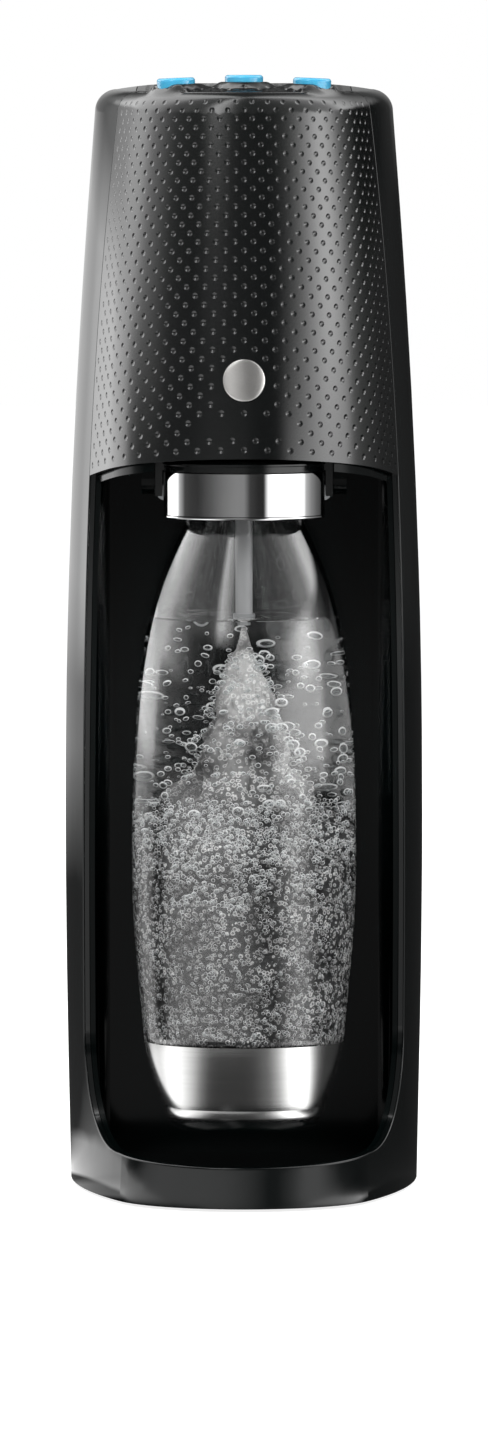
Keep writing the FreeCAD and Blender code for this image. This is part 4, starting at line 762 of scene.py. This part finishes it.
# %% Bead along it
BEAD = 0.42
whole = half_line + [(-way, up) for way, up in reversed(half_line[:-1])]
points, normals = front_wall([p[0] for p in whole], [p[1] for p in whole])
points = points - BEAD * 0.75 * normals
curve = bpy.data.curves.new("shell_edge_bead", "CURVE")
curve.dimensions = "3D"
curve.bevel_depth = BEAD * MM
curve.bevel_resolution = 3
spline = curve.splines.new("POLY")
spline.points.add(len(points) - 1)
for place, point in zip(spline.points, points):
    place.co = (*(point * MM), 1)
route = bpy.data.objects.new("bead_route", curve)
bead = bpy.data.objects.new("shell_edge_bead", bpy.data.meshes.new_from_object(route))
bpy.data.objects.remove(route)
put_in_scene(bead)
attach(bead, "tower")
print("edge bead:", len(points), "points")

# %% [markdown]
# ## The clear bottle and the water
# The bottle is blow moulded, so its wall is one even curve with no facets. Its outline is a
# handful of measured radii with a smooth spline through them, turned about its axis in fine
# steps; the inside is the same line moved in by the wall. The water is a body of its own that
# reaches a hair into the wall, so that no film of air shows between the two, and it creeps up
# the wall a little at its surface.

# %% Spline through the outline
OUTLINE = [(15.6, 265.5), (21.75, 253.8), (31.8, 230.3), (35.1, 218.1), (38.1, 201.7),
           (39.8, 186.8), (41.4, 157.0), (41.8, 131.0), (41.2, 105.0), (39.4, 82.8), (37.2, 59.9)]


def smooth_line(knots, steps):
    """Points of a natural cubic spline through a few knots, by the length between them."""
    knots = np.array(knots, float)
    at = np.concatenate([[0], np.cumsum(np.linalg.norm(np.diff(knots, axis=0), axis=1))])
    span = np.diff(at)
    count = len(knots)
    system, right = np.eye(count), np.zeros((count, 2))
    for k in range(1, count - 1):
        system[k, k - 1:k + 2] = span[k - 1], 2 * (span[k - 1] + span[k]), span[k]
        slope = (knots[k + 1] - knots[k]) / span[k] - (knots[k] - knots[k - 1]) / span[k - 1]
        right[k] = 6 * slope
    bend = np.linalg.solve(system, right)
    line = []
    for where in np.linspace(0, at[-1], steps):
        k = min(int(np.searchsorted(at, where, "right")) - 1, count - 2)
        a, b = (at[k + 1] - where) / span[k], (where - at[k]) / span[k]
        curve = (a ** 3 - a) * bend[k] + (b ** 3 - b) * bend[k + 1]
        line.append(tuple(a * knots[k] + b * knots[k + 1] + curve * span[k] ** 2 / 6))
    return line


body_line = smooth_line(OUTLINE, 90)
HEEL = [(36.1, 59.7), (34.6, 52), (32.3, 44.5), (29.0, 36.2), (26.6, 31.2), (23.4, 28.6),
        (12, 28.4), (0.01, 28.4)]
outer = [(15.2, 283.2), (15.6, 282.8), (15.6, 278), (15.6, 272)] + body_line + HEEL
print("points in the outline:", len(outer))

# %% The bottle's wall and the water
BOTTLE_FRONT, WALL_THICK, WATER_LEVEL, BOTTLE_SIDES = -45.0, 1.1, 218.0, 192


def moved_in(line, gap):
    """An outline moved towards the inside of the bottle."""
    line = np.array(line)
    along = np.gradient(line, axis=0)
    along /= np.linalg.norm(along, axis=1, keepdims=True)
    moved = line + gap * np.stack([along[:, 1], -along[:, 0]], -1)
    moved[:, 0] = np.maximum(moved[:, 0], 0.01)
    return [tuple(point) for point in moved]


def turned_piece(name, outline, body, slot):
    """A piece of the bottle, turned about its axis."""
    points, faces = lathe(outline, BOTTLE_SIDES)
    piece = mesh_piece(name, [(x, y + BOTTLE_FRONT, z) for x, y, z in points], faces)
    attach(piece, body)
    return piece


inner = moved_in(outer[2:], WALL_THICK)
mouth = [(14.6, 283.2), (15.2, 283.2)]
bottle = turned_piece("bottle_clear_wall", outer + inner[::-1] + mouth, "bottle", "bottle")
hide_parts("bottle_shell")

into_wall, creep = 0.06, 0.9
wet = [point for point in moved_in(outer[2:], WALL_THICK - into_wall)
       if point[1] < WATER_LEVEL + creep]
rim_radius = wet[0][0]
surface = [(radius, WATER_LEVEL) for radius in (0.01, 12, 24, rim_radius - 2.2)]
surface += [(rim_radius - 1.0, WATER_LEVEL + 0.15), (rim_radius - 0.35, WATER_LEVEL + 0.45)]
water = turned_piece("water_fill", surface + wet, "bottle", "water")
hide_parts("water")
for clear_piece in (bottle, water):
    clear_piece.visible_shadow = False
print("bottle:", len(bottle.data.polygons), "faces; water:", len(water.data.polygons), "faces")

# %% [markdown]
# ## The fizz
# Gas leaves the nozzle's tip as a misty plume of bubbles too small to see, spreads into a cone
# and fills the lower half with a dense cloud. The cloud is one lumpy body whose surface is made
# of packed bubble domes; round it float single bubbles. A bubble is gas inside water, so its
# mesh is turned inside out: its rim then takes the mirroring ring, which lights up partly by
# real gloss and partly by a painted pale colour that stands in for the mirrored light.

# %% Cloud of packed bubbles
PLUME = [(0.9, 212.6), (1.6, 208.5), (2.6, 204.5), (5.4, 197.0), (8.0, 189.0), (9.0, 180.0),
         (11.5, 172.0), (13.5, 164.0), (16.5, 156.5), (20.5, 149.5), (26.5, 142.0),
         (33.0, 134.0), (37.5, 124.0)]
plume_radii, plume_levels = np.array(PLUME)[::-1].T
wall_radii_up, wall_levels_up = np.array(moved_in(body_line + HEEL, WALL_THICK))[::-1].T
CLOUD_FOOT, CLOUD_FULL, BEYOND_WALL, DOME_PITCH = 60.5, 112, 99.0, 1.55


def cloud_point(turn, level):
    """A point of the cloud's surface: a cone that opens into the full width, with lumps."""
    free = float(np.interp(level, plume_levels, plume_radii))
    wall_radius = float(np.interp(level, wall_levels_up, wall_radii_up)) - 0.35
    out = Vector((math.sin(turn), -math.cos(turn), 0))
    rough = noise.noise(Vector((out.x * 2.2, out.y * 2.2, level / 16)))
    fine = noise.noise(Vector((out.x * 6.5, out.y * 6.5, level / 5)) + Vector((9, 9, 9)))
    wander = (0.10 + 0.32 * min(1, free / 30)) * rough + 0.16 * fine
    radius = min(free * (1 + wander) + (BEYOND_WALL if level < CLOUD_FULL else 0), wall_radius)
    place = Vector((out.x * radius, out.y * radius, level))
    cell = noise.voronoi(place / DOME_PITCH)[0][0]
    dome = max(0.0, 1 - (cell / 0.62) ** 2)
    lump = min(0.9, 0.2 + radius * 0.05)
    radius = max(0.3, radius - lump * (1 - dome) - 0.15)
    return out.x * radius, out.y * radius + BOTTLE_FRONT, level


cloud_levels = [*np.arange(CLOUD_FOOT, 150, 0.62), *np.arange(150, 212.6, 0.8)]
cloud_sides = 300
points = [cloud_point(2 * math.pi * step / cloud_sides, float(level))
          for level in cloud_levels for step in range(cloud_sides)]
faces = ring_faces(len(cloud_levels), cloud_sides)
for end, level in ((0, cloud_levels[0]), (len(cloud_levels) - 1, cloud_levels[-1])):
    points.append((0, BOTTLE_FRONT, float(level)))
    for step in range(cloud_sides):
        pair = (end * cloud_sides + step, end * cloud_sides + (step + 1) % cloud_sides)
        faces.append((*(pair if end else pair[::-1]), len(points) - 1))
cloud = mesh_piece("fizz_cloud", points, faces)
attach(cloud, "bottle")
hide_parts("fizz_plume")
print("cloud:", len(cloud.data.polygons), "faces")

# %% Where single bubbles float
def room_at(level):
    """The radius inside the bottle's wall, and the cloud's own radius, at a level."""
    wall_radius = float(np.interp(level, wall_levels_up, wall_radii_up))
    cloud_radius = float(np.interp(level, plume_levels, plume_radii))
    return wall_radius, cloud_radius if level > CLOUD_FULL else BEYOND_WALL


def free_bubble():
    """A bubble in the open water beside the plume: more of them lower down."""
    level = 216 - 96 * random.random() ** 0.62
    radius = random.choice((0.35, 0.5, 0.6, 0.75, 0.75, 0.95, 0.95, 1.2, 1.5, 2.1))
    turn = random.uniform(0, 2 * math.pi)
    wall_radius, cloud_radius = room_at(level)
    away = math.sqrt(random.random()) * (wall_radius - radius * 1.5 - 0.4)
    if away < cloud_radius * 0.75 or level + radius > 216.5:
        return None
    return *around(away, turn, level), radius, random.uniform(0.68, 0.95)


def plume_bubble():
    """A bubble at the skin of the plume."""
    level = random.uniform(124, 203)
    turn = random.uniform(0, 2 * math.pi)
    wall_radius, cloud_radius = room_at(level)
    radius = random.choice((0.45, 0.6, 0.8, 1.0))
    away = min(cloud_radius * random.uniform(0.86, 1.3) + 0.4, wall_radius - radius - 0.4)
    return *around(away, turn, level), radius, random.uniform(0.8, 1.0)


def wall_bubble():
    """A bubble of the dense cloud, close to the wall, mostly on the side that is seen."""
    level = 61.5 + 90 * random.random() ** 1.15
    turn = random.gauss(0, 1.05)
    radius = random.choice((0.45, 0.55, 0.65, 0.7, 0.8, 0.95))
    away = room_at(level)[0] - radius - random.uniform(0.1, 1.5)
    return *around(away, turn, level), radius, random.uniform(0.85, 1.0)


print("room at 180 mm, wall and cloud:", [round(radius, 1) for radius in room_at(180)])

# %% Single bubbles
random.seed(11)


def bubble_field(name, wanted, detail, chooser):
    """A piece of many bubbles; the chooser gives (x, y, z, radius, flatness) or nothing."""
    ball = bmesh.new()
    bmesh.ops.create_icosphere(ball, subdivisions=detail, radius=1.0)
    ball.verts.ensure_lookup_table()
    unit = np.array([vert.co[:] for vert in ball.verts])
    round_faces = [[vert.index for vert in face.verts][::-1] for face in ball.faces]
    ball.free()
    points, faces, made = [], [], 0
    while made < wanted:
        chosen = chooser()
        if not chosen:
            continue
        x, y, z, radius, flat = chosen
        turn = random.uniform(0, math.pi)
        tilt = random.uniform(-0.35, 0.35)
        stretched = unit * np.array([radius * (2 - flat), radius, radius * flat])
        cos, sin = math.cos(turn), math.sin(turn)
        rotate = np.array([[cos, -sin, 0], [sin, cos, 0], [0, 0, 1]])
        cos, sin = math.cos(tilt), math.sin(tilt)
        lean = np.array([[cos, 0, sin], [0, 1, 0], [-sin, 0, cos]])
        placed = stretched @ lean.T @ rotate.T + np.array([x, y + BOTTLE_FRONT, z])
        start = len(points)
        points += [tuple(point) for point in placed]
        faces += [tuple(start + corner for corner in face) for face in round_faces]
        made += 1
    piece = mesh_piece(name, points, faces)
    piece.visible_shadow = False
    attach(piece, "bottle")
    print(name, made, "bubbles,", len(faces), "faces")
    return piece


bubbles = [bubble_field("fizz_bubbles_free", 520, 3, free_bubble),
           bubble_field("fizz_bubbles_plume", 520, 3, plume_bubble),
           bubble_field("fizz_bubbles_wall", 2400, 2, wall_bubble),
           bubble_field("fizz_bubbles_dense", 2400, 2, wall_bubble)]

# %% [markdown]
# ## Finishes: the black mouldings
# Nearly everything outside is black ABS. What separates the parts is the mould: the shell and
# the liner come out of polished steel and mirror like a piano lid, the head out of a finely
# eroded one that blurs each reflection a little. Handling leaves faint hazy patches, so a slow
# noise varies the roughness by a few hundredths.

# %% One function for a finish with one pattern
def patterned(slot, title, shades, mark_mm, rough, bump=None, inputs=None, kind="TexNoise",
              **pattern):
    """A finish whose pattern drives its tint, roughness and relief, as far as they are given.

    shades is the tint's dark and pale end or one colour; mark_mm is the pattern's size, one or
    one for each axis; rough is a range or one value; bump is the relief's strength and its height
    in millimetres; what is left goes to the pattern's own node.
    """
    tree, output, place = finish(slot, title)
    inputs, scale = dict(inputs or {}), 1.0
    if isinstance(mark_mm, tuple):
        stretch = [1000 / size for size in mark_mm]
        place = add(tree, "Mapping", {"Vector": place, "Scale": stretch}).outputs["Vector"]
    else:
        scale = 1000 / mark_mm
    marks = add(tree, kind, {"Vector": place, "Scale": scale, **pattern}).outputs[0]
    if isinstance(shades, str):
        inputs["Base Color"] = colour(shades)
    else:
        tint = add(tree, "ValToRGB", {"Fac": marks})
        for stop, shade_code in zip(tint.color_ramp.elements, shades):
            stop.color = colour(shade_code)
        inputs["Base Color"] = tint.outputs["Color"]
    if isinstance(rough, tuple):
        spread = add(tree, "MapRange", {"Value": marks, "To Min": rough[0], "To Max": rough[1]})
        rough = spread.outputs["Result"]
    if bump:
        relief = {"Strength": bump[0], "Distance": bump[1] * MM, "Height": marks}
        inputs["Normal"] = add(tree, "Bump", relief).outputs["Normal"]
    return tree, shade(tree, output, {"Roughness": rough, **inputs})


print("a finish is given:", *patterned.__code__.co_varnames[:8])

# %% Black ABS and acetal: the shell, the recess with its ceiling, the neck holder, the head
patterned("shell", "black_abs_polished_moulded", ("#050808", "#090c0c"), 45, (0.05, 0.10),
          inputs={"IOR": 1.5}, Detail=3.0)
patterned("recess", "black_abs_high_gloss_moulded", ("#020505", "#040808"), 60, (0.10, 0.16),
          inputs={"IOR": 1.5, "Specular IOR Level": 0.12}, Detail=2.0)
patterned("yoke", "black_acetal_moulded", ("#090b0b", "#0e1010"), 12, (0.12, 0.20),
          inputs={"IOR": 1.48}, Detail=3.0)
tree, satin = patterned("head", "black_abs_satin_moulded", ("#050707", "#090b0b"), 30,
                        (0.15, 0.19), inputs={"IOR": 1.5, "Specular IOR Level": 0.95}, Detail=4.0)
# The head also has the tooth of its eroded mould, drawn coarser than it is, so that it shows.
place = add(tree, "TexCoord").outputs["Object"]
tooth = add(tree, "TexNoise", {"Vector": place, "Scale": 1000 / 0.6, "Detail": 2.0})
relief = {"Strength": 0.04, "Distance": 0.2 * MM, "Height": tooth.outputs["Fac"]}
tree.links.new(add(tree, "Bump", relief).outputs["Normal"], satin.inputs["Normal"])
print("black mouldings:", len(FINISHES))

# %% [markdown]
# The parts inside and underneath are plainer: glass-filled nylon with an eroded surface for the
# chassis, polypropylene for the base plate, and soft TPE feet with a faint tooth.

# %% Structural plastics and rubber
patterned("chassis", "grey_nylon_glass_filled", ("#2e3032", "#3b3d40"), 1.2, 0.6, (0.25, 0.2),
          {"IOR": 1.53}, Detail=5.0, Distortion=0.6)
patterned("base", "black_polypropylene_eroded", ("#17181a", "#222326"), 0.8, 0.55, (0.4, 0.2),
          {"IOR": 1.49}, Detail=3.0)
patterned("rubber", "black_tpe_moulded", ("#1c1c1d", "#252526"), 0.9, 0.85, (0.3, 0.1),
          {"IOR": 1.5}, kind="TexVoronoi")
print("with the structural ones:", len(FINISHES))

# %% [markdown]
# ## Finishes: the metals
# The collar's band is chrome plated, the cup is brushed stainless steel: the abrasive ran round
# the cup, so its scratches are level rings that smear each reflection up and down. They are
# drawn about a third of a millimetre wide, coarser than they are, so that they show. The badge
# is a plain satin nickel disc; nothing is drawn on it. The metals inside are plated, blackened,
# anodised, turned or drawn, each with marks about as wide as that leaves.

# %% Chrome, stainless steel, nickel and the metals inside
METAL = {"Metallic": 1.0}
patterned("chrome", "chrome_plated_polished", ("#d8d9da", "#e2e2e2"), 14, (0.03, 0.08),
          inputs=METAL, Detail=4.0)
patterned("cup", "stainless_steel_brushed", ("#cfcfce", "#e0e0df"), (30, 30, 0.35), (0.14, 0.24),
          (0.10, 0.1), METAL, Detail=3.0)
patterned("badge", "nickel_satin_turned", ("#e4e2df", "#efedea"), 0.7, (0.26, 0.36),
          inputs=METAL, Detail=2.0)
METALS = [("screw", "zinc_plated_steel", "#a9abad", "#bcbec0", 0.30, 1.5),
          ("steel", "carbon_steel_black_oxide", "#2b2c2e", "#38393b", 0.30, 0.8),
          ("gas_metal", "aluminium_extruded_anodised", "#b2b8bf", "#bfc5cb", 0.34, 1.1),
          ("brass", "brass_turned", "#b08d45", "#c9a65a", 0.28, 0.7),
          ("spring", "spring_steel_drawn", "#8f9193", "#a4a6a8", 0.32, 0.6),
          ("motor", "zinc_plated_sheet_drawn", "#a6a8ab", "#b6b8bb", 0.38, 2.0)]
for slot, title, dark, pale, rough, mark_mm in METALS:
    patterned(slot, title, (dark, pale), mark_mm, (rough - 0.06, rough + 0.08), (0.08, 0.1),
              METAL, Detail=3.0)
print("with the metals:", len(FINISHES))

# %% [markdown]
# ## Finishes: clear things
# The bottle is blow-moulded copolyester, the button caps are tinted polycarbonate that light
# shines through, and the water is water. Clear materials look flat without tiny unevenness, so
# the bottle and the water get a slow wave of a few hundredths of a millimetre.

# %% Copolyester, water, polycarbonate and acrylic
patterned("bottle", "copolyester_clear_blown", "#fdfdfd", 26, 0.0, (0.05, 0.5),
          {"IOR": 1.52, "Specular IOR Level": 0.24, "Transmission Weight": 1.0}, Detail=1.0)
patterned("water", "water_carbonated", "#fdfdfd", 9, 0.0, (0.05, 0.4),
          {"IOR": 1.33, "Transmission Weight": 1.0}, Detail=2.0)
patterned("cap", "polycarbonate_blue_moulded", ("#3fa3ca", "#58b4d8"), 7, 0.12,
          inputs={"IOR": 1.58, "Subsurface Weight": 0.35, "Subsurface Radius": (0.4, 0.9, 1.0),
                  "Subsurface Scale": 0.002}, Detail=2.0)
patterned("light_guide", "acrylic_clear_moulded", "#f2f8fa", 3, (0.04, 0.1),
          inputs={"IOR": 1.49, "Transmission Weight": 0.9}, Detail=1.0)
print("with the clear ones:", len(FINISHES))

# %% [markdown]
# ## Finishes: the gas
# Beyond 49 degrees the skin of a bubble mirrors everything, so its outer ring is silver and its
# middle is clear: the Fresnel term of a face turned towards the gas gives exactly that ring. The
# silver is partly real gloss and partly painted reflection: the skin's pale grey to white colour,
# lit by the lamps, stands in for what the ring mirrors. The cloud behind the bubbles is more of
# the same, too fine to tell apart: cells of two millimetres with a paler ring, a painted highlight
# for each bubble's mirrored rim, over slow drifts of light and dark. Near the nozzle the gas is
# still a mist, so the rings fade out upwards.

# %% Bubble skins and the imported cloud
# The skin's pale grey to white colour is painted reflection: it stands in for the light that the
# ring mirrors; only its gloss is real.
tree, skin = patterned("bubble", "carbon_dioxide_bubble_skin", ("#b9bbbc", "#f4f5f5"),
                       1.4, 0.18, (0.12, 0.3), {"IOR": 1.33}, Detail=1.0)
quiver = skin.inputs["Normal"].links[0].from_socket
ring = add(tree, "Fresnel", {"IOR": 1.33, "Normal": quiver})
clear = add(tree, "BsdfTransparent", {"Color": colour("#f6f8f8")})
mixed = add(tree, "MixShader", {0: ring.outputs["Fac"], 1: clear.outputs[0], 2: skin.outputs[0]})
tree.links.new(mixed.outputs[0], skin.outputs[0].links[0].to_node.inputs["Surface"])

tree, output, place = finish("fizz", "bubble_cloud_packed")
cells = add(tree, "TexVoronoi", {"Vector": place, "Scale": 1000 / 2.0})
drift = add(tree, "TexNoise", {"Vector": place, "Scale": 1000 / 14, "Detail": 3.0})
# The pale ring in each cell is a painted highlight: it stands in for the mirrored rim of a bubble
# too small to model.
ring = add(tree, "ValToRGB", {"Fac": cells.outputs["Distance"]})
for stop, tone in zip(ring.color_ramp.elements, ("#808081", "#303132")):
    stop.color = colour(tone)
for position, tone in ((0.24, "#666768"), (0.35, "#ffffff"), (0.47, "#4b4c4d")):
    ring.color_ramp.elements.new(position).color = colour(tone)
patch = add(tree, "ValToRGB", {"Fac": drift.outputs["Fac"]})
for stop, position, tone in zip(patch.color_ramp.elements, (0.38, 0.62), ("#787878", "#efefee")):
    stop.position, stop.color = position, colour(tone)
level = add(tree, "SeparateXYZ", {"Vector": place})
mist = add(tree, "MapRange", {"Value": level.outputs["Z"], "From Min": 0.145, "From Max": 0.188,
                              "To Min": 1.0, "To Max": 0.45})
colours = {0: mist.outputs["Result"], 6: patch.outputs["Color"], 7: ring.outputs["Color"]}
mixed = add(tree, "Mix", colours, data_type="RGBA", blend_type="MULTIPLY")
domes = {"Strength": 0.6, "Distance": 0.5 * MM, "Height": cells.outputs["Distance"]}
relief = add(tree, "Bump", domes, invert=True)
shade(tree, output, {"Base Color": mixed.outputs[2], "Roughness": 0.35, "IOR": 1.33,
                     "Specular IOR Level": 0.3, "Normal": relief.outputs["Normal"]})
print("with the gas:", len(FINISHES))

# %% [markdown]
# ## Finishes: nozzle, seals, gears and electronics
# The nozzle tube is grey polypropylene with a soft sheen. Inside, the seals are silicone, the
# gears white acetal, the boards green glass epoxy with a faint weave, and the switches PBT.

# %% Small plastics
SMALL = [("nozzle", "grey_polypropylene_moulded", "#8d8e8f", "#98999a", 0.32, 6.0),
         ("nozzle_tip", "grey_polypropylene_tip", "#7c7e7f", "#8a8c8d", 0.30, 3.0),
         ("silicone", "silicone_translucent_moulded", "#c9cbc8", "#d6d8d5", 0.45, 2.0),
         ("gear", "acetal_white_moulded", "#e3e2dc", "#efeee9", 0.35, 2.5),
         ("board", "glass_epoxy_green", "#1f5a35", "#2b6e44", 0.40, 0.9),
         ("switch", "pbt_black_moulded", "#1b1c1e", "#2a2b2e", 0.42, 1.0)]
for slot, title, dark, pale, rough, mark_mm in SMALL:
    patterned(slot, title, (dark, pale), mark_mm, (rough - 0.05, rough + 0.06), (0.08, 0.1),
              {"IOR": 1.49}, Detail=3.0)
print("all finishes:", len(FINISHES))

# %% Give every part its finish
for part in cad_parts.values():
    for held in part.material_slots:
        held.material = FINISHES[held.material.name]
made = {head: "head", badge: "badge", bead: "shell", bottle: "bottle", water: "water",
        cloud: "fizz", **{field: "bubble" for field in bubbles}}
for piece, slot in made.items():
    piece.data.materials.append(FINISHES[slot])
print("pieces made here:", len(made))

# %% Sizes and the end
low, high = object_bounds()
print("box in mm:", [round(1000 * side, 1) for side in high - low])
